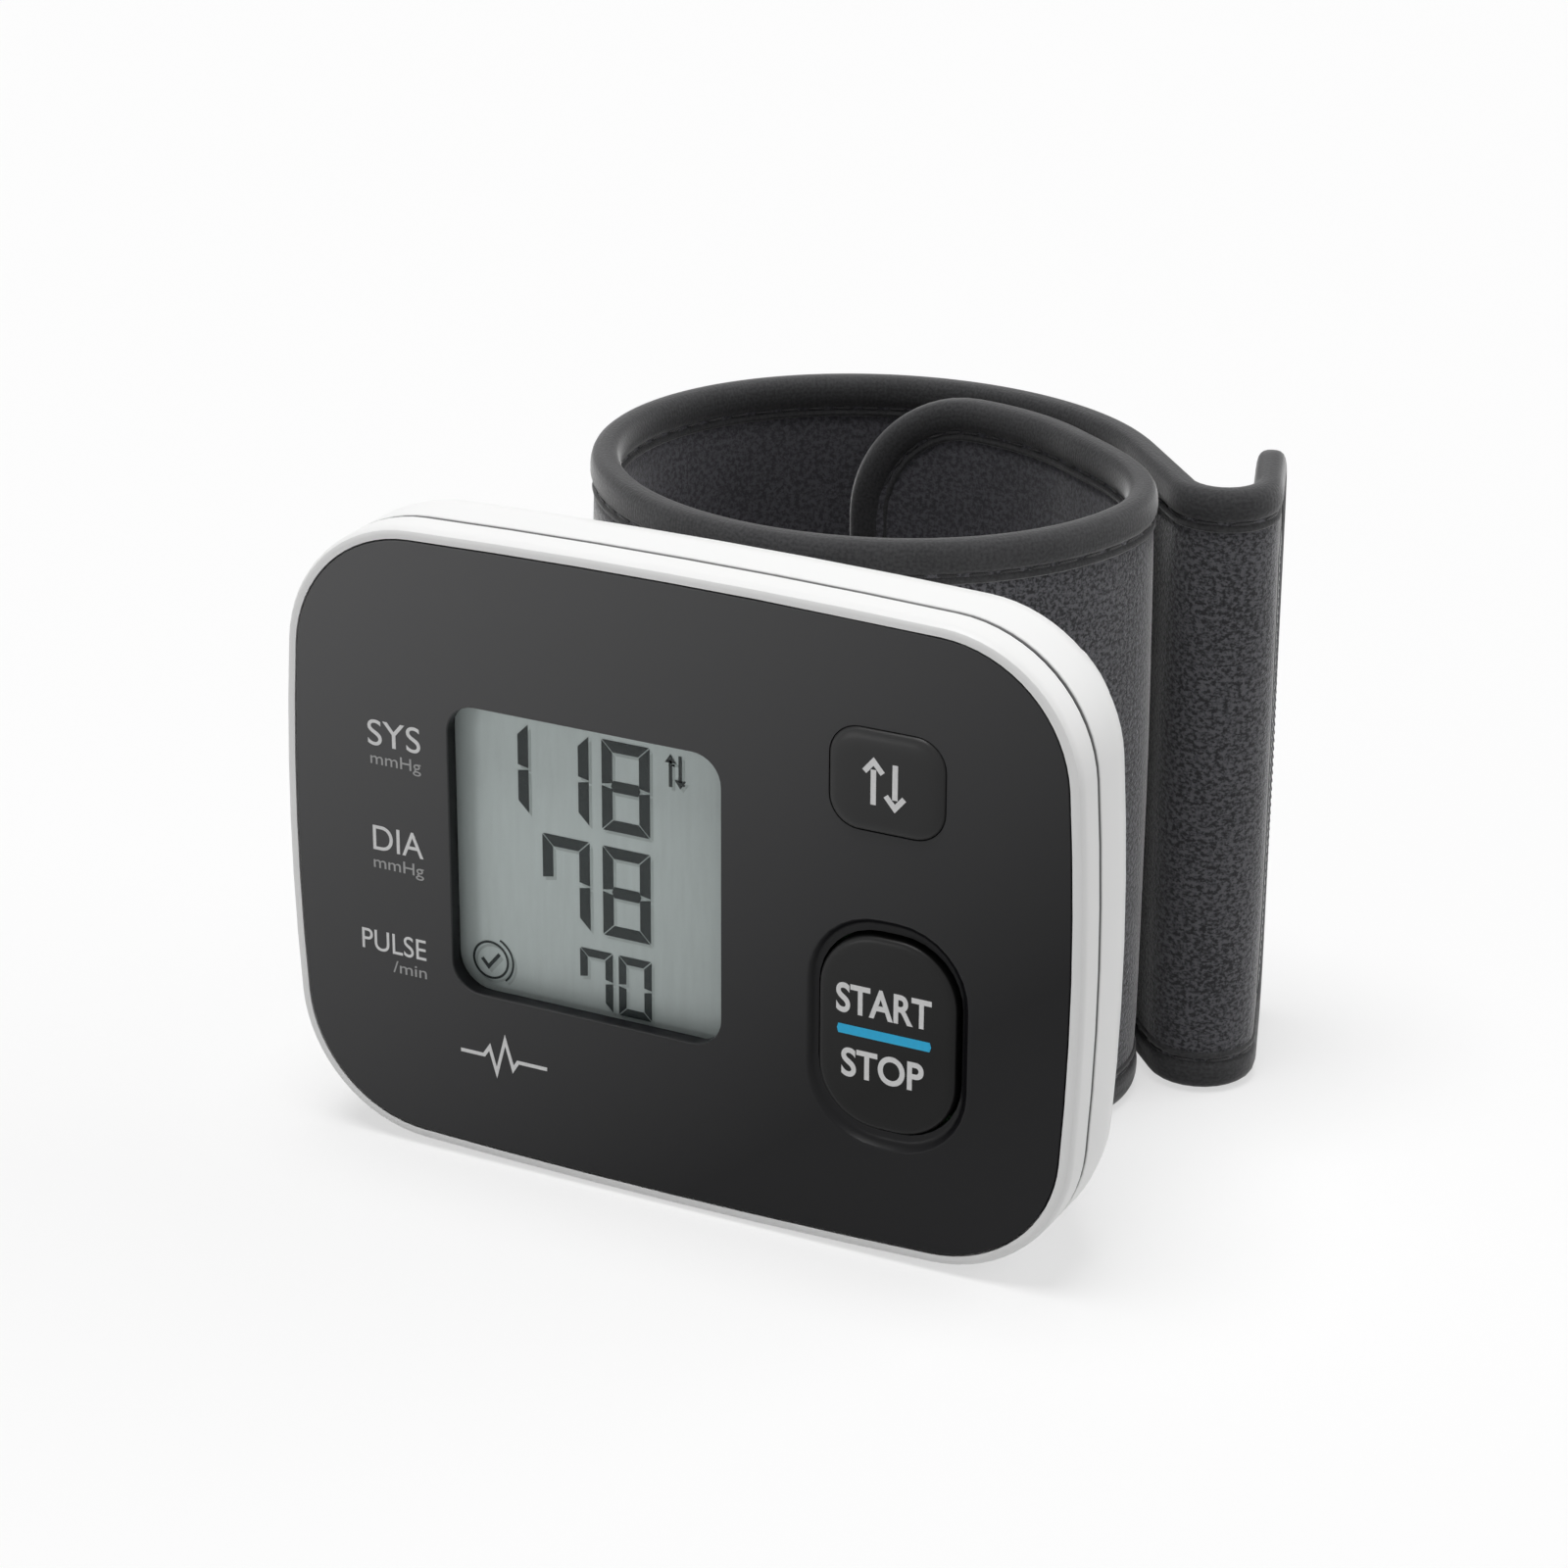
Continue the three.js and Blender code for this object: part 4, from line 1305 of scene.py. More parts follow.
@dataclass
class Print:
    """Flat printed forms on a plane that faces the viewer.

    The mitre limits the point of a line's corner, and a ring has that many facets.
    """

    depth: float
    thick: float
    bench: Bench = field(default_factory=Bench)
    mitre: float = 0.3
    facets: int = 48

    def solid(self, face: bmesh.types.BMFace) -> None:
        """Gives a flat face its thickness.

        Args:
            face: the face, which is turned to the viewer first.
        """
        if face.normal.y > 0:
            face.normal_flip()
        self.bench.lift(face, -self.thick)

    def shape(self, points: Sequence[Spot]) -> None:
        """Adds a flat outline.

        Args:
            points: its corners, in order.
        """
        corners = [self.bench.mesh.verts.new((x, self.depth, z)) for x, z in points]
        face = self.bench.mesh.faces.new(corners)
        face.normal_update()
        self.solid(face)

    def bar(self, start: Spot, end: Spot, stroke: float, taper: float) -> None:
        """Adds a bar with pointed ends.

        Args:
            start: one end of its middle line.
            end: the other end.
            stroke: its width.
            taper: length of a point, as a share of the stroke.
        """
        tip, far = Vector(start), Vector(end)
        way = (far - tip).normalized()
        across = Vector((-way.y, way.x)) * stroke / 2
        nip = way * stroke * taper
        foot = (tip + nip - across, far - nip - across)
        top = (far - nip + across, tip + nip + across)
        self.shape([tuple(spot) for spot in (tip, *foot, far, *top)])

    def path(self, points: Sequence[Spot], stroke: float) -> None:
        """Adds a line of even width through points.

        Args:
            points: the line's corners.
            stroke: its width.
        """
        spots = [Vector(point) for point in points]
        left, right = [], []
        for index, spot in enumerate(spots):
            before = (spot - spots[index - 1]).normalized() if index else None
            after = (spots[index + 1] - spot).normalized() if index + 1 < len(spots) else None
            way = ((before or after) + (after or before)).normalized()
            reach = stroke / 2 / max(way.dot(after or before), self.mitre)
            across = Vector((-way.y, way.x)) * reach
            left.append(tuple(spot + across))
            right.append(tuple(spot - across))
        self.shape(left + right[::-1])

    def ring(self, centre: Spot, radius: float, stroke: float, start: float, turn: float) -> None:
        """Adds a ring or a part of one.

        Args:
            centre: its middle.
            radius: radius of its middle line.
            stroke: its width.
            start: where it starts, in degrees from the right.
            turn: how far it goes round, in degrees.
        """
        sides = (centre[0] + radius - stroke / 2, centre[0] + radius + stroke / 2)
        foot = [self.bench.mesh.verts.new((x, self.depth, centre[1])) for x in sides]
        edge = self.bench.mesh.edges.new(foot)
        middle = (centre[0], self.depth, centre[1])
        turned = Matrix.Rotation(math.radians(-start), 3, "Y")
        bmesh.ops.rotate(self.bench.mesh, verts=foot, cent=middle, matrix=turned)
        before = set(self.bench.mesh.faces)
        bmesh.ops.spin(
            self.bench.mesh,
            geom=[*foot, edge],
            cent=middle,
            axis=(0, -1, 0),
            dvec=(0, 0, 0),
            angle=math.radians(turn),
            steps=self.facets,
            use_merge=turn == 360.0,
        )
        made = [face for face in self.bench.mesh.faces if face not in before]
        raised = bmesh.ops.extrude_face_region(self.bench.mesh, geom=made)["geom"]
        verts = [item for item in raised if isinstance(item, bmesh.types.BMVert)]
        bmesh.ops.translate(self.bench.mesh, vec=(0, -self.thick, 0), verts=verts)

    def word(self, text: str, at: Spot, cap: float, width: float, align: Align, weight: float = 0.0) -> None:
        """Adds a printed word.

        Args:
            text: the word.
            at: its side or middle, and its foot line.
            cap: height of its capitals.
            width: its whole width.
            align: which point of the word the place names.
            weight: how much bolder it gets, as a share of its height.
        """
        curve = bpy.data.curves.new("word", "FONT")
        curve.body = text
        curve.offset = weight
        writing = bpy.data.objects.new("word", curve)
        bpy.context.scene.collection.objects.link(writing)
        ready = writing.evaluated_get(bpy.context.evaluated_depsgraph_get())
        shaped = bpy.data.meshes.new_from_object(ready)
        bpy.data.objects.remove(writing)
        letters = bmesh.new()
        letters.from_mesh(shaped)
        bpy.data.meshes.remove(shaped)
        bpy.data.curves.remove(curve)
        low = min(vert.co.x for vert in letters.verts)
        high = max(vert.co.x for vert in letters.verts)
        start = at[0] - width * (align.value + 1) / 2
        for vert in letters.verts:
            across = start + (vert.co.x - low) / (high - low) * width
            vert.co = (across, self.depth, at[1] + vert.co.y / FONT_CAP * cap)
        raised = bmesh.ops.extrude_face_region(letters, geom=letters.faces[:])["geom"]
        verts = [item for item in raised if isinstance(item, bmesh.types.BMVert)]
        bmesh.ops.translate(letters, vec=(0, -self.thick, 0), verts=verts)
        joined = bpy.data.meshes.new("letters")
        letters.to_mesh(joined)
        letters.free()
        self.bench.mesh.from_mesh(joined)
        bpy.data.meshes.remove(joined)


@dataclass
class Legends:
    """Words and signs on the panel, the keys and the display.

    A print gives its lift over the face that carries it and its thickness, an arrow its X and its way up or
    down, and a ring its radius, stroke, start and turn. A word gives its foot line or its place, the height
    of its capitals and its width; the units share one height.
    """

    rows: tuple[Digits, ...] = (
        Digits("118", right=-3.1, top=12.4, height=8.5, width=4.75, pitch=6.05, stroke=1.05),
        Digits("78", right=-3.1, top=2.35, height=8.55, width=4.75, pitch=6.05, stroke=1.05),
        Digits("70", right=-3.05, top=-7.9, height=5.8, width=3.3, pitch=3.9, stroke=0.75),
    )
    shade_shift: Spot = (0.28, -0.3)
    arrows: tuple[Spot, ...] = ((-1.05, 1), (-0.1, -1))
    arrows_at: float = 10.7
    arrow_tail: float = 1.5
    arrow_tip: float = 1.55
    arrow_neck: float = 0.6
    arrow_head: Spot = (0.55, 0.8)
    arrow_stroke: float = 0.32
    rings: tuple[tuple[float, float, float, float], ...] = (
        (1.75, 0.22, 0.0, 360.0),
        (2.3, 0.2, -50.0, 115.0),
    )
    rings_at: Spot = (-19.45, -11.15)
    tick: tuple[Spot, ...] = ((-20.35, -11.1), (-19.7, -11.85), (-18.55, -10.45))
    tick_stroke: float = 0.34
    shade_print: Spot = (0.01, 0.01)
    figure_print: Spot = (0.03, 0.02)

    words_right: float = -24.7
    panel_words: tuple[tuple[str, float, float, float], ...] = (
        ("SYS", 8.65, 2.55, 5.4),
        ("DIA", -1.45, 2.5, 5.2),
        ("PULSE", -11.4, 2.1, 6.7),
    )
    unit_words: tuple[tuple[str, float, float], ...] = (
        ("mmHg", 6.85, 5.2),
        ("mmHg", -3.2, 5.2),
        ("/min", -13.2, 3.5),
    )
    unit_cap: float = 1.2
    trace: tuple[Spot, ...] = (
        (-21.3, -19.4),
        (-18.9, -19.4),
        (-18.3, -18.5),
        (-17.6, -20.9),
        (-16.7, -17.5),
        (-15.9, -20.2),
        (-15.4, -19.4),
        (-12.4, -19.4),
    )
    trace_stroke: float = 0.34
    panel_print: Spot = (0.0, 0.03)

    key_words: tuple[tuple[str, Spot, float, float], ...] = (
        ("START", (20.8, -7.05), 2.75, 9.0),
        ("STOP", (20.75, -13.05), 2.7, 7.8),
    )
    key_weight: float = 0.022
    bar: tuple[Spot, Spot] = ((16.4, -8.7), (25.3, -8.7))
    bar_stroke: float = 0.88
    bar_taper: float = 0.15
    start_print: Spot = (-0.02, 0.04)

    link_arrows: tuple[Spot, ...] = ((19.75, 1), (21.75, -1))
    link_at: float = 14.7
    link_neck: float = 1.2
    link_tip: float = 1.95
    link_barb: Spot = (0.85, 0.95)
    link_stroke: float = 0.5
    link_print: Spot = (-0.05, 0.07)

    def display_signs(self, sheet: Print, shift: Spot) -> None:
        """Adds the figures and small signs of the display.

        Args:
            sheet: the print that takes them.
            shift: how far they are moved on the panel.
        """

        def moved(spot: Spot) -> Spot:
            """A place after the shift."""
            return (spot[0] + shift[0], spot[1] + shift[1])

        for row in self.rows:
            for outline in row.outlines():
                sheet.shape([moved(spot) for spot in outline])
        wide, deep = self.arrow_head
        for x, way in self.arrows:
            tip = self.arrows_at + way * self.arrow_tip
            shaft = ((x, self.arrows_at - way * self.arrow_tail), (x, tip - way * self.arrow_neck))
            head = ((x - wide, tip - way * deep), (x + wide, tip - way * deep), (x, tip))
            sheet.path([moved(spot) for spot in shaft], self.arrow_stroke)
            sheet.shape([moved(spot) for spot in head])
        for ring in self.rings:
            sheet.ring(moved(self.rings_at), *ring)
        sheet.path([moved(spot) for spot in self.tick], self.tick_stroke)

    def sheet(self, face: float, print_at: Spot) -> Print:
        """Starts a print, by the depth of the face that carries it and by its lift and thickness."""
        lift, thick = print_at
        return Print(face - lift, thick)

    def build(self, origin: Vector) -> None:
        """Makes every printed piece.

        Args:
            origin: the panel's middle, in metres.
        """
        glass = (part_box("lcd_glass")[0].y - origin.y) / MM
        # A painted shadow of the figures, shifted down and to the right.
        shade = self.sheet(glass, self.shade_print)
        self.display_signs(shade, self.shade_shift)
        settle(shade.bench.piece("display_shadows", SEGMENT_SHADE, origin), "unit", SEGMENT_SHADE)
        figures = self.sheet(glass, self.figure_print)
        self.display_signs(figures, (0.0, 0.0))
        settle(figures.bench.piece("display_figures", SEGMENT, origin), "unit", SEGMENT)

        words = self.sheet(0.0, self.panel_print)
        for text, foot, cap, width in self.panel_words:
            words.word(text, (self.words_right, foot), cap, width, Align.RIGHT)
        words.path(self.trace, self.trace_stroke)
        settle(words.bench.piece("panel_legends", PALE_INK, origin), "unit", PALE_INK)
        units = self.sheet(0.0, self.panel_print)
        for text, foot, width in self.unit_words:
            units.word(text, (self.words_right, foot), self.unit_cap, width, Align.RIGHT)
        settle(units.bench.piece("panel_units", DIM_INK, origin), "unit", DIM_INK)

        face = (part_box("start_button")[0].y - origin.y) / MM
        start = self.sheet(face, self.start_print)
        for text, at, cap, width in self.key_words:
            start.word(text, at, cap, width, Align.CENTRE, self.key_weight)
        settle(start.bench.piece("start_words", PALE_INK, origin), "start_key", PALE_INK)
        bar = self.sheet(face, self.start_print)
        bar.bar(*self.bar, self.bar_stroke, self.bar_taper)
        settle(bar.bench.piece("start_bar", BLUE_INK, origin), "start_key", BLUE_INK)

        top = (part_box("link_button")[0].y - origin.y) / MM
        sign = self.sheet(top, self.link_print)
        wide, level = self.link_barb
        for x, way in self.link_arrows:
            foot, neck, barb, tip = (
                self.link_at + way * up for up in (-self.link_tip, self.link_neck, level, self.link_tip)
            )
            sign.path([(x, foot), (x, neck)], self.link_stroke)
            sign.path([(x - wide, barb), (x, tip), (x + wide, barb)], self.link_stroke)
        settle(sign.bench.piece("link_sign", PALE_INK, origin), "link_key", PALE_INK)


@dataclass
class BandPath:
    """Plan line of the cuff: an oval spiral drawn in under its own outer turn, then a hooked tail."""

    centre: Spot = (1.2, 38.5)
    half_width: float = 25.5
    half_depth: float = 22.9
    inner_angle: float = 117.0
    outer_angle: float = -321.0
    drawn_in: float = 4.6
    drawn_from: float = -6.0
    drawn_to: float = 52.0
    run: float = 11.0
    hook_radius: float = 3.9
    hook_turn: float = 157.0
    tip: float = 13.4
    steps: int = 900
    run_steps: int = 40
    hook_steps: int = 60
    tip_steps: int = 30

    def __post_init__(self) -> None:
        """Samples the line closely and measures it."""
        self.spots = [self.loop_spot(step / self.steps) for step in range(self.steps + 1)]
        way = (self.spots[-1] - self.spots[-2]).normalized()
        self.extend(way, self.run, self.run_steps)
        across = Vector((-way.y, way.x))
        middle = self.spots[-1] + across * self.hook_radius
        arm = self.spots[-1] - middle
        turn = math.radians(self.hook_turn)
        for step in range(1, self.hook_steps + 1):
            self.spots.append(middle + Matrix.Rotation(turn * step / self.hook_steps, 2) @ arm)
        self.extend(Matrix.Rotation(turn, 2) @ way, self.tip, self.tip_steps)
        self.lengths = [0.0]
        for before, after in zip(self.spots, self.spots[1:]):
            self.lengths.append(self.lengths[-1] + (after - before).length)
        self.loop_length = self.lengths[self.steps]
        self.length = self.lengths[-1]

    def loop_spot(self, share: float) -> Vector:
        """A point of the spiral.

        Args:
            share: share of the spiral's turn from its inner end.

        Returns:
            The point in plan.
        """
        angle = self.inner_angle + (self.outer_angle - self.inner_angle) * share
        part = min(max((angle - self.drawn_from) / (self.drawn_to - self.drawn_from), 0.0), 1.0)
        inwards = self.drawn_in * part * part * (3 - 2 * part)
        turn = math.radians(angle)
        x = self.centre[0] + (self.half_width - inwards) * math.cos(turn)
        return Vector((x, self.centre[1] + (self.half_depth - inwards) * math.sin(turn)))

    def extend(self, way: Vector, length: float, steps: int) -> None:
        """Adds a straight stretch to the line.

        Args:
            way: its direction.
            length: its length.
            steps: number of points.
        """
        start = self.spots[-1]
        self.spots += [start + way * (length * step / steps) for step in range(1, steps + 1)]

    def place(self, along: float, out: float, height: float) -> Vector:
        """Where a point of the flat band comes to lie.

        Args:
            along: length from the inner end.
            out: offset from the band's middle surface, outwards.
            height: height over the table.

        Returns:
            The point.
        """
        index = min(max(bisect.bisect(self.lengths, along), 1), len(self.lengths) - 1)
        before, after = self.spots[index - 1], self.spots[index]
        share = (along - self.lengths[index - 1]) / (self.lengths[index] - self.lengths[index - 1])
        held = min(max(share, 0.0), 1.0)
        way = self.heading(index - 1).lerp(self.heading(index), held)
        spot = before.lerp(after, held) + way * ((share - held) * (after - before).length)
        spot += Vector((-way.y, way.x)) * out
        return Vector((spot.x, spot.y, height))

    def heading(self, index: int) -> Vector:
        """Direction of the line at one of its points."""
        last = len(self.spots) - 1
        return (self.spots[min(index + 1, last)] - self.spots[max(index - 1, 0)]).normalized()


@dataclass(frozen=True)
class EdgeSpot:
    """A point of the band's edge, and which way leads past it."""

    along: float
    height: float
    past_along: float
    past_up: float
    run: float


@dataclass
class Cuff:
    """The sewn cuff: outer cloth, lining, folded edge tape, stitching, and the hooked closing tail."""

    path: BandPath = field(default_factory=BandPath)
    low: float = 0.1
    height: float = 59.0
    crown: float = 1.3
    half: float = 1.0
    outer_back: float = 0.3
    lining_back: float = -0.5
    swell: float = 0.3
    wave_height: float = 0.07
    wave_shares: Spot = (0.5, 0.3)
    wave_rates: Spot = (0.33, 0.71)
    wave_leans: Spot = (5.0, 7.0)
    wave_sway: float = 2.1
    inner_corner: float = 11.0
    tail_corner: float = 7.0
    hinge_after: float = 1.0
    seam_before: float = 2.0
    bend_length: float = 4.5
    bend_turn: float = 26.0
    column: float = 0.9
    rows: int = 44
    corner_step: int = 6
    end_steps: int = 40
    stitch: float = 2.7
    stitch_line: float = -1.7
    stitch_size: tuple[float, float, float] = (1.0, 0.13, 0.17)
    stitch_pull: float = 0.1
    stitch_reach: float = 1.0
    tape_leg: float = 2.35
    patch_columns: int = 10
    patch_rows: int = 48
    patch_rim: float = 0.1
    patch_aspect: float = 6.0
    patch_lift: float = 0.06
    patch_sunk: float = 0.15
    hook_inset: Spot = (0.8, 0.9)
    hook_lift: float = 0.08
    hook_size: tuple[float, float, float] = (0.2, 0.13, 0.24)
    hooks_from: float = 12.6
    hooks_to: float = 5.0
    hooks_margin: float = 7.6
    hook_columns: int = 9
    hook_rows: int = 52
    tape: tuple[Spot, ...] = (
        (0.0, 1.3),
        (0.42, 1.28),
        (0.76, 1.18),
        (1.04, 0.96),
        (1.23, 0.62),
        (1.34, 0.2),
        (1.39, -0.25),
        (1.39, -0.75),
        (1.33, -1.15),
        (1.15, -1.45),
        (1.03, -1.58),
        (1.03, -1.8),
        (1.15, -1.94),
        (1.26, -2.12),
        (1.26, -2.34),
        (1.1, -2.5),
        (0.85, -2.55),
    )
    origin: Vector = field(default_factory=Vector)

    @property
    def hinge(self) -> float:
        """Length along the band at which the tail bends."""
        return self.path.loop_length + self.hinge_after

    @property
    def seam(self) -> float:
        """Length along the band at which the tail's cloth starts."""
        return self.hinge - self.seam_before

    def drop(self, distance: float, corner: float) -> float:
        """How far a rounded end lowers the band's edge.

        Args:
            distance: distance from the end.
            corner: corner radius.

        Returns:
            The drop.
        """
        short = max(corner - distance, 0.0)
        return corner - math.sqrt(max(corner**2 - short**2, 0.0))

    def stations(self, start: float, end: float, corner: float, at_end: bool) -> list[float]:
        """Lengths at which the cloth is divided, closer at its rounded end.

        Args:
            start: where it starts.
            end: where it ends.
            corner: radius of the rounded end.
            at_end: whether the rounded end is the far one.

        Returns:
            The lengths, in order.
        """
        turns = [math.radians(angle) for angle in range(0, 90, self.corner_step)]
        rounding = [corner * (1 - math.cos(turn)) for turn in turns]
        count = round((end - start - corner) / self.column)
        straight = [corner + (end - start - corner) * step / count for step in range(count + 1)]
        lengths = rounding + straight
        if at_end:
            return sorted(end - length for length in lengths)
        return [start + length for length in lengths]

    def soft(self, along: float, across: float) -> float:
        """Swelling of the filled band, from its sewn edges to its middle.

        Args:
            along: length along the band.
            across: place between its lower and its upper edge, nought to one.

        Returns:
            How far the cloth stands out.
        """
        half_height = self.height / 2 - self.crown
        from_edge = half_height * (1 - abs(2 * across - 1))
        inside = max(from_edge - self.tape_leg, 0.0) / (half_height - self.tape_leg)
        dome = math.sqrt(inside * (2 - inside))
        sway = self.wave_sway * math.sin(across * self.wave_leans[0])
        slow = math.sin(along * self.wave_rates[0] + sway)
        quick = math.sin(along * self.wave_rates[1] + across * self.wave_leans[1])
        waves = slow * self.wave_shares[0] + quick * self.wave_shares[1]
        return dome * (self.swell + self.wave_height * waves)

    def cloth(
        self,
        name: str,
        finish: Finish,
        start: float,
        end: float,
        faces: Spot,
        corner: float,
        at_end: bool,
    ) -> bpy.types.Object:
        """Makes a layer of cloth, flat at first and then curled along the band.

        Args:
            name: name of the piece.
            finish: its finish.
            start: where it starts along the band.
            end: where it ends.
            faces: offsets of its two faces; a face at the band's half thickness swells.
            corner: radius of its rounded end.
            at_end: whether the rounded end is the far one.

        Returns:
            The piece.
        """
        lengths = self.stations(start, end, corner, at_end)
        columns = len(lengths) - 1
        bench = Bench()
        mesh = bench.mesh
        bmesh.ops.create_grid(mesh, x_segments=columns, y_segments=self.rows, size=0.5)
        raised = bmesh.ops.extrude_face_region(mesh, geom=mesh.faces[:])["geom"]
        outer = [item for item in raised if isinstance(item, bmesh.types.BMVert)]
        bmesh.ops.translate(mesh, vec=(0, 0, 1), verts=outer)
        layer = mesh.loops.layers.uv.new(BAND_MAP)

        def flat(spot: Vector) -> Vector:
            """Lays a grid point on the flat band.

            Args:
                spot: the point, from -0.5 to 0.5 along and across, and nought or one in its layer.

            Returns:
                Its length, offset and height.
            """
            along = lengths[round((spot.x + 0.5) * columns)]
            across = spot.y + 0.5
            drop = self.drop(end - along if at_end else along - start, corner)
            lowest = self.low + self.crown + drop
            highest = self.low + self.height - self.crown - drop
            out = faces[1] if spot.z > 0.5 else faces[0]
            if abs(out) >= self.half:
                out += math.copysign(self.soft(along, across), out)
            return Vector((along, out, lowest + (highest - lowest) * across))

        bench.bent(flat)
        for face in mesh.faces:
            for loop in face.loops:
                loop[layer].uv = (loop.vert.co.x * MM, loop.vert.co.z * MM)
        bench.bent(lambda spot: self.path.place(*spot))
        return bench.piece(name, finish, self.origin, sharp=50.0)

    def edge(self, end: float, far: float, corner: float) -> list[EdgeSpot]:
        """The band's edge: along its foot, round its rounded end and back along its top.

        Args:
            end: where the rounded end is along the band.
            far: where the edge starts and stops.
            corner: radius of the rounded end.

        Returns:
            Close points of the edge.
        """
        way = math.copysign(1.0, far - end)
        foot = self.low + self.crown
        top = self.low + self.height - self.crown
        count = round((abs(far - end) - corner) / self.column)
        runs = [far - way * (abs(far - end) - corner) * step / count for step in range(count)]
        route = [(along, foot, 0.0, -1.0) for along in runs]
        turns = [math.radians(angle) for angle in range(0, 91, self.corner_step)]
        ways = [(math.sin(turn), math.cos(turn)) for turn in turns]
        round_foot = [
            (end + way * corner * (1 - sine), foot + corner * (1 - cosine), -way * sine, -cosine)
            for sine, cosine in ways
        ]
        rise, steps = top - foot - 2 * corner, self.end_steps
        rising = [(end, foot + corner + rise * step / steps, -way, 0.0) for step in range(1, steps)]
        round_top = [
            (along, foot + top - up, past, -past_up) for along, up, past, past_up in reversed(round_foot)
        ]
        route += round_foot + rising + round_top + [(along, top, 0.0, 1.0) for along in reversed(runs)]
        spots, run = [], 0.0
        for index, (along, up, past, past_up) in enumerate(route):
            if index:
                run += math.dist((along, up), route[index - 1][:2])
            spots.append(EdgeSpot(along, up, past, past_up, run))
        return spots

    def binding(self, name: str, end: float, far: float, corner: float) -> bpy.types.Object:
        """Makes the folded tape over the band's edge, pulled in at each stitch.

        Args:
            name: name of the piece.
            end: where the rounded end is along the band.
            far: where the tape starts and stops.
            corner: radius of the rounded end.

        Returns:
            The piece.
        """
        section = [*self.tape[::-1], *[(-out, past) for out, past in self.tape[1:]]]
        girth = [0.0]
        for before, after in zip(section, section[1:] + section[:1]):
            girth.append(girth[-1] + math.dist(before, after))
        spans = [(girth[-2], girth[-1]), *zip(girth, girth[1:-1])]
        bench = Bench()
        mesh = bench.mesh
        layer = mesh.loops.layers.uv.new(BAND_MAP)
        spots = self.edge(end, far, corner)

        def lay(ring: Sequence[bmesh.types.BMVert], spot: EdgeSpot) -> None:
            """Moves a ring of vertices to its place on the flat band's edge.

            Args:
                ring: the vertices, in the order of the tape's section.
                spot: the edge's point there.
            """
            loose = 0.5 - 0.5 * math.cos(2 * math.pi * spot.run / self.stitch)
            for vert, (out, past) in zip(ring, section):
                near = max(0.0, 1 - abs(past - self.stitch_line) / self.stitch_reach)
                out -= math.copysign(self.stitch_pull * near * (1 - loose), out)
                vert.co = (spot.along + spot.past_along * past, out, spot.height + spot.past_up * past)

        ring = [mesh.verts.new() for _ in section]
        edges = [mesh.edges.new((ring[index - 1], ring[index])) for index in range(len(ring))]
        lay(ring, spots[0])
        first = edges
        for before, spot in zip(spots, spots[1:]):
            made = bmesh.ops.extrude_edge_only(mesh, edges=edges)["geom"]
            fresh = {vert for item in made if isinstance(item, bmesh.types.BMEdge) for vert in item.verts}
            after = [
                next(edge.other_vert(vert) for edge in vert.link_edges if edge.other_vert(vert) in fresh)
                for vert in ring
            ]
            ahead = [mesh.edges.get((after[index - 1], after[index])) for index in range(len(after))]
            for index, (old, new) in enumerate(zip(edges, ahead)):
                face = next(face for face in new.link_faces if face in old.link_faces)
                corners = (ring[index - 1], ring[index], after[index - 1], after[index])
                across = dict(zip(corners, spans[index] * 2))
                for loop in face.loops:
                    run = before.run if loop.vert in ring else spot.run
                    loop[layer].uv = (run * MM, across[loop.vert] * MM)
            lay(after, spot)
            ring, edges = after, ahead
        bmesh.ops.contextual_create(mesh, geom=first)
        bmesh.ops.contextual_create(mesh, geom=edges)
        bench.bent(lambda spot: self.path.place(*spot))
        return bench.piece(name, CUFF_TAPE, self.origin, sharp=70.0)

    def stitches(self, name: str, end: float, far: float, corner: float) -> bpy.types.Object:
        """Makes a row of stitches along the tape on both faces of the band.

        Args:
            name: name of the piece.
            end: where the rounded end is along the band.
            far: where the row starts and stops.
            corner: radius of the rounded end.

        Returns:
            The piece.
        """
        bench = Bench()
        spots = self.edge(end, far, corner)
        runs = [spot.run for spot in spots]
        out = next(offset for offset, past in self.tape if past <= self.stitch_line)
        scaled = Matrix.Diagonal((*self.stitch_size, 1.0))
        for number in range(int(runs[-1] / self.stitch)):
            index = min(bisect.bisect(runs, (number + 0.5) * self.stitch), len(spots) - 2)
            spot, after = spots[index], spots[index + 1]
            lean = math.atan2(after.height - spot.height, after.along - spot.along)
            for side in Side:
                place = Vector((
                    spot.along + spot.past_along * self.stitch_line,
                    side.value * out,
                    spot.height + spot.past_up * self.stitch_line,
                ))
                turned = Matrix.Translation(place) @ Matrix.Rotation(-lean, 4, "Y") @ scaled
                bmesh.ops.create_icosphere(bench.mesh, subdivisions=2, radius=1.0, matrix=turned)
        bench.bent(lambda spot: self.path.place(*spot))
        return bench.piece(name, CUFF_THREAD, self.origin, sharp=80.0)

    def hook_patch(self) -> tuple[bpy.types.Object, bpy.types.Object]:
        """Makes the hook fastener on the tail's last stretch.

        Returns:
            Its woven backing and its hooks.
        """
        start, end = self.path.length - self.hooks_from, self.path.length - self.hooks_to
        foot, top = self.low + self.hooks_margin, self.low + self.height - self.hooks_margin
        bench = Bench()
        columns, rows = self.patch_columns, self.patch_rows
        bmesh.ops.create_grid(bench.mesh, x_segments=columns, y_segments=rows, size=0.5)
        raised = bmesh.ops.extrude_face_region(bench.mesh, geom=bench.mesh.faces[:])["geom"]
        back = [item for item in raised if isinstance(item, bmesh.types.BMVert)]
        bmesh.ops.translate(bench.mesh, vec=(0, 0, 1), verts=back)
        layer = bench.mesh.loops.layers.uv.new(BAND_MAP)

        def face_at(along: float, height: float) -> float:
            """Offset of the tail's swollen face."""
            across = (height - self.low - self.crown) / (self.height - 2 * self.crown)
            return -self.half - self.soft(along, across)

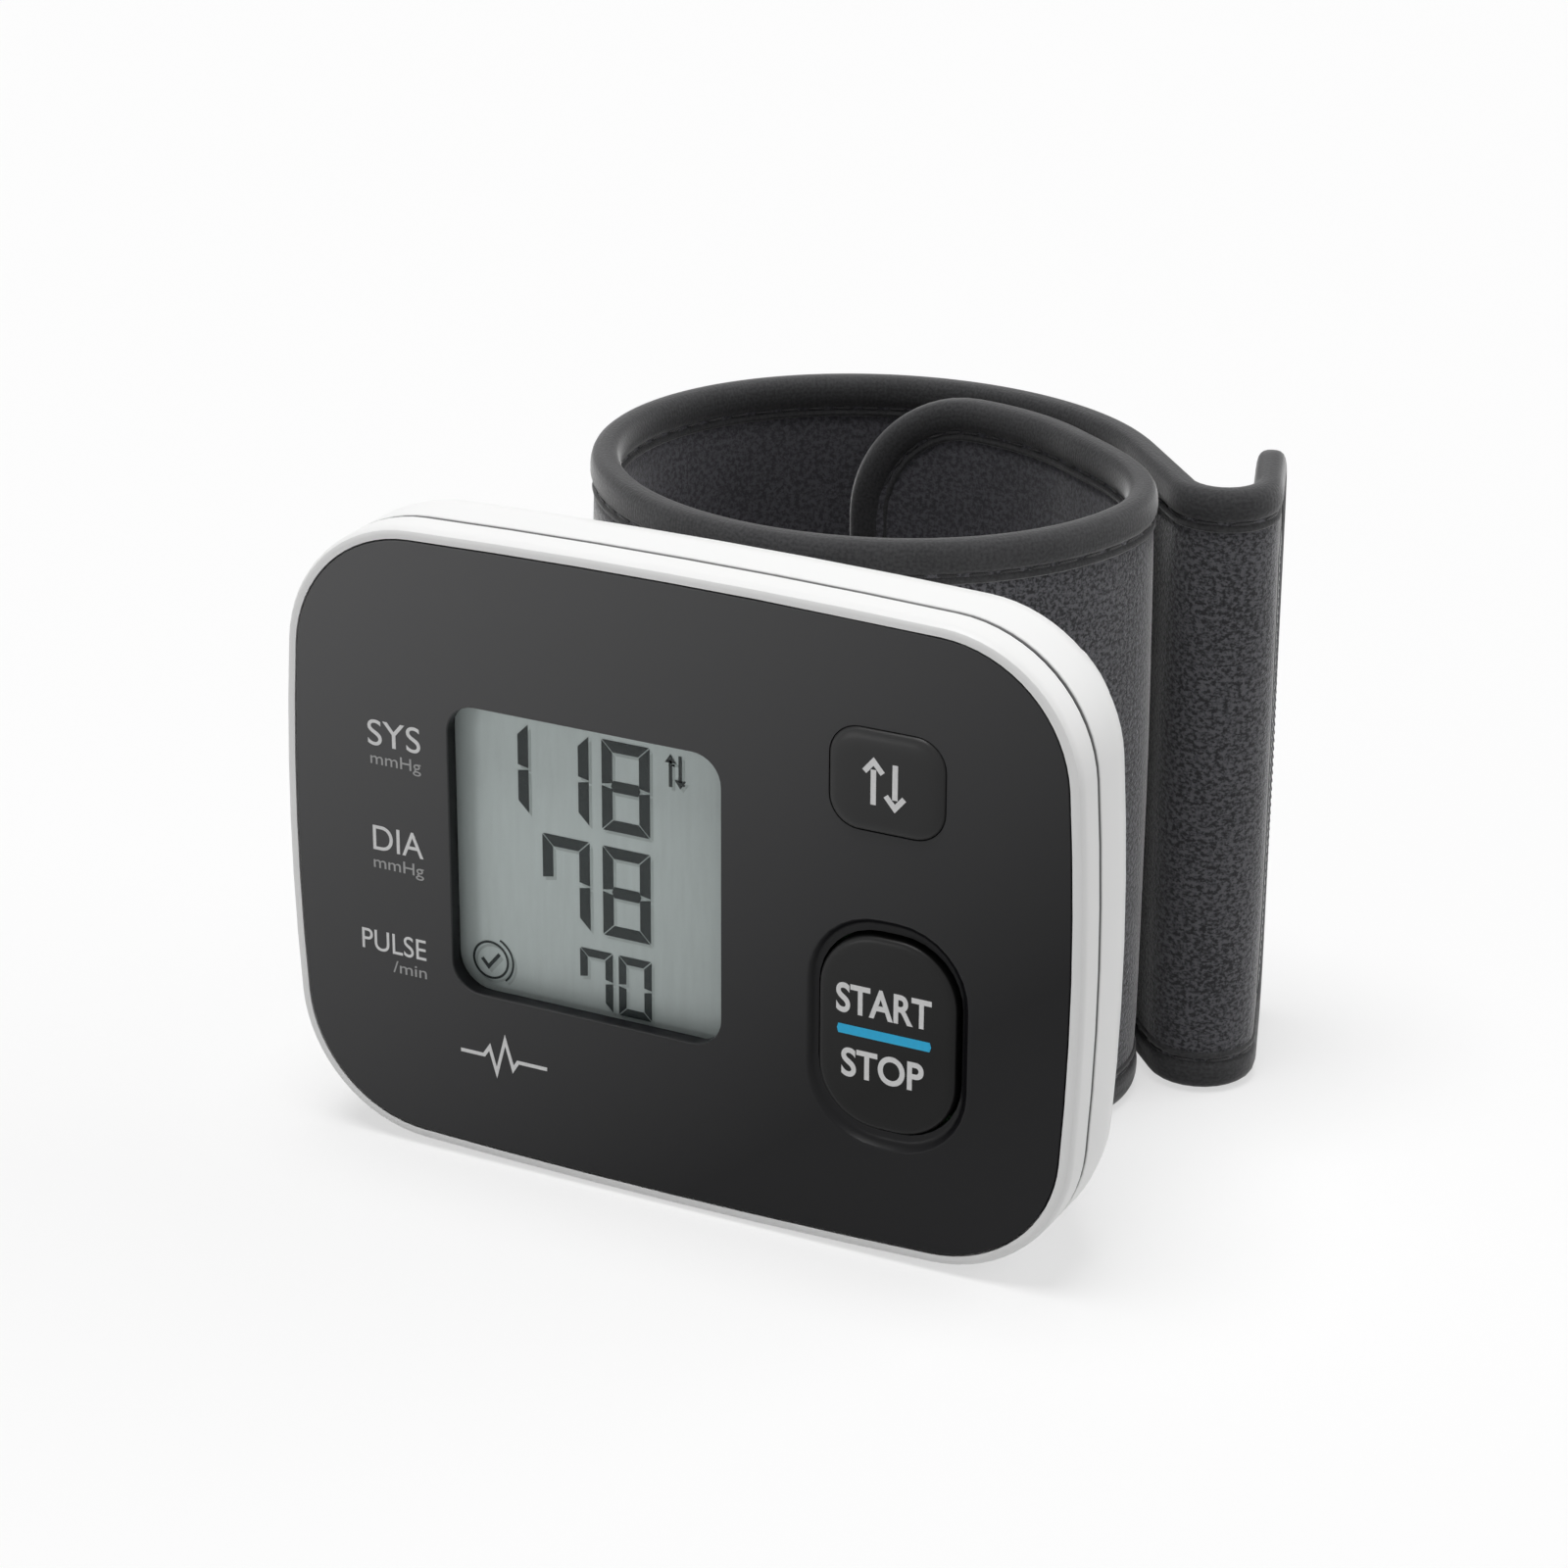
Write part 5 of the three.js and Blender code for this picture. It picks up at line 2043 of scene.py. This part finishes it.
        def flat(spot: Vector) -> Vector:
            """Lays a grid point on the tail's flat band, thinner at the patch's rim.

            Args:
                spot: the point, from -0.5 to 0.5 along and across, and nought or one in its layer.

            Returns:
                Its length, offset and height.
            """
            along = start + (end - start) * (spot.x + 0.5)
            height = foot + (top - foot) * (spot.y + 0.5)
            side = min(spot.x + 0.5, 0.5 - spot.x)
            rim = min(side, (spot.y + 0.5) * self.patch_aspect, (0.5 - spot.y) * self.patch_aspect)
            lift = self.patch_lift + self.patch_lift * min(rim / self.patch_rim, 1.0)
            off = self.patch_sunk if spot.z > 0.5 else -lift
            return Vector((along, face_at(along, height) + off, height))

        bench.bent(flat)
        for face in bench.mesh.faces:
            for loop in face.loops:
                loop[layer].uv = (loop.vert.co.x * MM, loop.vert.co.z * MM)
        bench.bent(lambda spot: self.path.place(*spot))
        backing = bench.piece("tail_hook_backing", HOOK_CLOTH, self.origin, sharp=60.0)
        hooks = Bench()
        inset, rise = self.hook_inset
        wide, tall = end - start - 2 * inset, top - foot - 2 * rise
        scaled = Matrix.Diagonal((*self.hook_size, 1.0))
        for column in range(self.hook_columns):
            for row in range(self.hook_rows):
                staggered = row + 0.5 * (column % 2)
                along = start + inset + column * wide / (self.hook_columns - 1)
                height = foot + rise + staggered * tall / (self.hook_rows - 0.5)
                face = face_at(along, height) - self.hook_lift
                head = Matrix.Translation((along, face, height)) @ scaled
                bmesh.ops.create_icosphere(hooks.mesh, subdivisions=1, radius=1.0, matrix=head)
        hooks.bent(lambda spot: self.path.place(*spot))
        return backing, hooks.piece("tail_hooks", HOOK_PLASTIC, self.origin, sharp=60.0)

    def in_frame(self, along: float) -> Vector:
        """A point of the band's middle line in the frame, in metres, at half height."""
        return self.path.place(along, 0.0, self.height / 2) * MM + self.origin

    def build(self, origin: Vector) -> None:
        """Makes the cuff and its tail.

        Args:
            origin: where the cuff's plan starts in the frame, in metres.
        """
        self.origin = origin
        half, seam, length = self.half, self.seam, self.path.length
        front, back = (self.outer_back, half), (-half, self.lining_back)
        outer = self.cloth("cuff_outer_cloth", CUFF_CLOTH, 0.0, seam, front, self.inner_corner, False)
        settle(outer, "unit", CUFF_CLOTH, "cuff_outer_fabric")
        lining = self.cloth("cuff_lining_cloth", CUFF_LINING, 0.0, seam, back, self.inner_corner, False)
        settle(lining, "unit", CUFF_LINING, "cuff_lining")
        edging = self.binding("cuff_edge_tape", 0.0, seam, self.inner_corner)
        settle(edging, "unit", CUFF_TAPE, "cuff_binding")
        sewing = self.stitches("cuff_stitching", 0.0, seam, self.inner_corner)
        settle(sewing, "unit", CUFF_THREAD)

        start = self.in_frame(seam)
        heading = (self.in_frame(self.hinge + 1.0) - self.in_frame(self.hinge)).normalized()
        # Turned away from the tail's own line.
        across = Matrix.Rotation(math.radians(self.bend_turn), 3, "Z") @ heading
        end = start + across * self.bend_length * MM
        tail = self.cloth("tail_cloth", CUFF_CLOTH, seam, length, (-half, half), self.tail_corner, True)
        tape = self.binding("tail_edge_tape", length, seam, self.tail_corner)
        thread = self.stitches("tail_stitching", length, seam, self.tail_corner)
        for piece, finish, nodes in (
            (tail, CUFF_CLOTH, ["tail_fabric"]),
            (tape, CUFF_TAPE, ["tail_binding"]),
            (thread, CUFF_THREAD, []),
        ):
            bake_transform(piece)
            settle(piece, None, finish, *nodes)
        backing, hooks = self.hook_patch()
        settle(backing, "tail", HOOK_CLOTH, "tail_hook_patch")
        settle(hooks, "tail", HOOK_PLASTIC)


@dataclass
class Cells:
    """The two round cells in the battery bay."""

    length: float = 44.5
    profile: tuple[Spot, ...] = (
        (0.0, 0.0),
        (4.7, 0.0),
        (5.1, 0.15),
        (5.25, 0.5),
        (5.25, 42.9),
        (5.1, 43.25),
        (4.7, 43.4),
        (1.9, 43.4),
        (1.9, 44.35),
        (1.75, 44.5),
        (0.0, 44.5),
    )
    facets: int = 48
    weld: float = 0.001

    def build(self) -> None:
        """Makes both cells, the second one with its nub downwards."""
        for node, nub in (("battery_1", 1.0), ("battery_2", -1.0)):
            low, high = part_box(node)
            bench = Bench()
            half = self.length / 2
            spots = [bench.mesh.verts.new((radius, 0, height - half)) for radius, height in self.profile]
            line = [bench.mesh.edges.new(pair) for pair in zip(spots, spots[1:])]
            bmesh.ops.spin(
                bench.mesh,
                geom=spots + line,
                axis=(0, 0, 1),
                cent=(0, 0, 0),
                angle=math.tau,
                steps=self.facets,
                use_merge=True,
            )
            bmesh.ops.remove_doubles(bench.mesh, verts=bench.mesh.verts[:], dist=self.weld)
            bmesh.ops.scale(bench.mesh, vec=(1, 1, nub), verts=bench.mesh.verts[:])
            settle(bench.piece(node + "_cell", CELL_JACKET, (low + high) / 2), "unit", CELL_JACKET, node)


@dataclass
class Inside:
    """Works inside the unit and the cuff: the frame's own solids with finishes."""

    finishes: dict[str, Finish] = field(
        default_factory=lambda: {
            "lcd": DISPLAY,
            "inner_plastic": INNER_PLASTIC,
            "soft_rubber": SOFT_RUBBER,
            "circuit_board": BOARD,
            "black_component": BLACK_COMPONENT,
            "bare_metal": BARE_METAL,
            "cell_jacket": CELL_JACKET,
            "bladder_film": BLADDER_FILM,
            "white_case": WHITE_CASE,
            "dark_panel": DARK_PANEL,
            "clear_window": CLEAR_WINDOW,
            "cuff_fabric": CUFF_CLOTH,
            "cuff_tape": CUFF_TAPE,
            "hook_fastener": HOOK_CLOTH,
        }
    )

    def build(self, frame: Mapping[str, Mapping[str, bpy.types.Object]]) -> None:
        """Gives every solid the finish of its slot.

        Args:
            frame: the loaded frame.
        """
        for part in frame["record"]["subparts"]:
            data = frame["nodes"][part["node"]].data
            data.materials.clear()
            data.materials.append(self.finishes[part["material_slot"]].material())
            log.info("%s takes %s", part["node"], part["material_slot"])


@dataclass
class Studio:
    """Pale floor, soft lamps and the camera at the photograph's angle."""

    eye: tuple[float, float, float] = (169.586, -311.954, 159.233)
    right: tuple[float, float, float] = (0.890769, 0.454436, 0.004359)
    forward: tuple[float, float, float] = (-0.417693, 0.822452, -0.386142)
    focal_pixels: float = 4594.6
    image_pixels: float = 1600.0
    sensor: float = 36.0
    nearest: float = 0.01
    floor_half: float = 4.0
    floor_drop: float = 0.0002
    floor_grain: float = 60.0
    floor_shade: float = 0.995
    floor_colour: Colour = (0.94, 0.94, 0.94)
    floor_bounce: Colour = (0.65, 0.65, 0.65)
    floor_glow: float = 0.6
    ambient: float = 0.12
    lamps: tuple[tuple[str, tuple[float, float, float], float, float], ...] = (
        ("sky", (-0.08, -0.09, 1.0), 36.0, 2.42),
        ("right_fill", (0.75, 0.62, 0.5), 50.0, 0.8),
        ("front_fill", (-0.5, -0.86, 0.02), 15.0, 0.46),
    )

    def world(self) -> None:
        """White surround: full white where it is seen, softer as light."""
        graph = Graph(bpy.data.worlds.new("studio"), "OutputWorld")
        lit, white = (
            graph.node("Background", {}, {"Color": (1.0, 1.0, 1.0), "Strength": strength})
            for strength in (self.ambient, 1.0)
        )
        graph.show(graph.node("MixShader", {}, {0: graph.seen(), 1: lit, 2: white}))
        bpy.context.scene.world = graph.owner

    def floor(self) -> None:
        """Adds the floor: nearly white where it is seen, with a soft shadow, and duller as light."""
        ground = bmesh.new()
        bmesh.ops.create_grid(ground, x_segments=1, y_segments=1, size=self.floor_half)
        data = bpy.data.meshes.new("studio_floor")
        ground.to_mesh(data)
        ground.free()
        graph = Graph(bpy.data.materials.new("studio_paper"))
        fibres = graph.noise(graph.place(), grain=self.floor_grain, detail=2.0)
        shade = tinted(self.floor_colour, self.floor_shade)
        colour = graph.mix(graph.spread(fibres), shade, self.floor_colour)
        matt = {"Base Color": colour, "Roughness": 0.9, "Specular IOR Level": 0.1}
        paper = graph.node("BsdfPrincipled", {}, matt)
        glow = graph.node("Emission", {}, {"Color": (1.0, 1.0, 1.0), "Strength": 1.0})
        white = graph.node("MixShader", {}, {0: self.floor_glow, 1: paper, 2: glow})
        bounce = graph.node("BsdfDiffuse", {}, {"Color": self.floor_bounce})
        graph.show(graph.node("MixShader", {}, {0: graph.seen(), 1: bounce, 2: white}))
        data.materials.append(graph.owner)
        floor = bpy.data.objects.new("studio_floor", data)
        floor.location = (0.0, 0.0, -self.floor_drop)
        bpy.context.scene.collection.objects.link(floor)

    def light(self) -> None:
        """Adds the wide, even lamps, each turned to the part."""
        for name, place, width, power in self.lamps:
            data = bpy.data.lights.new(name, "SUN")
            data.angle = math.radians(width)
            data.energy = power
            lamp = bpy.data.objects.new(name, data)
            lamp.location = place
            lamp.rotation_euler = (-Vector(place)).to_track_quat("-Z", "Y").to_euler()
            bpy.context.scene.collection.objects.link(lamp)

    def camera(self, origin: Vector) -> None:
        """Sets the camera at the photograph's place.

        Args:
            origin: the panel's middle, in metres.
        """
        data = bpy.data.cameras.new("camera")
        data.sensor_fit = "AUTO"
        data.sensor_width = self.sensor
        data.lens = self.focal_pixels / self.image_pixels * data.sensor_width
        data.clip_start = self.nearest
        made = bpy.data.objects.new("camera", data)
        right, forward = Vector(self.right), Vector(self.forward)
        up = right.cross(forward)
        turn = Matrix((right, up, -forward)).transposed().to_4x4()
        made.matrix_world = Matrix.Translation(origin + Vector(self.eye) * MM) @ turn
        bpy.context.scene.collection.objects.link(made)
        bpy.context.scene.camera = made

    def build(self, origin: Vector) -> None:
        """Sets the scene.

        Args:
            origin: the panel's middle, in metres.
        """
        bpy.context.scene.view_settings.view_transform = "Standard"
        self.world()
        self.floor()
        self.light()
        self.camera(origin)


def plain(box: Iterable[Iterable[float]]) -> list[list[float]]:
    """A box's corners as lists of numbers."""
    return [[float(value) for value in corner] for corner in box]


def main() -> None:
    """Builds the look on the loaded frame."""
    logging.basicConfig(level=logging.INFO, format="%(message)s")
    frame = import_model()
    low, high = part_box("front_case")
    panel = Vector((0.0, low.y, (low.z + high.z) / 2))
    table = Vector((0.0, low.y, low.z))
    Studio().build(panel)
    Inside().build(frame)
    Shells().build(frame, panel)
    Keys().build(panel)
    Legends().build(panel)
    Cells().build()
    Cuff().build(table)


if __name__ == "__main__":
    main()
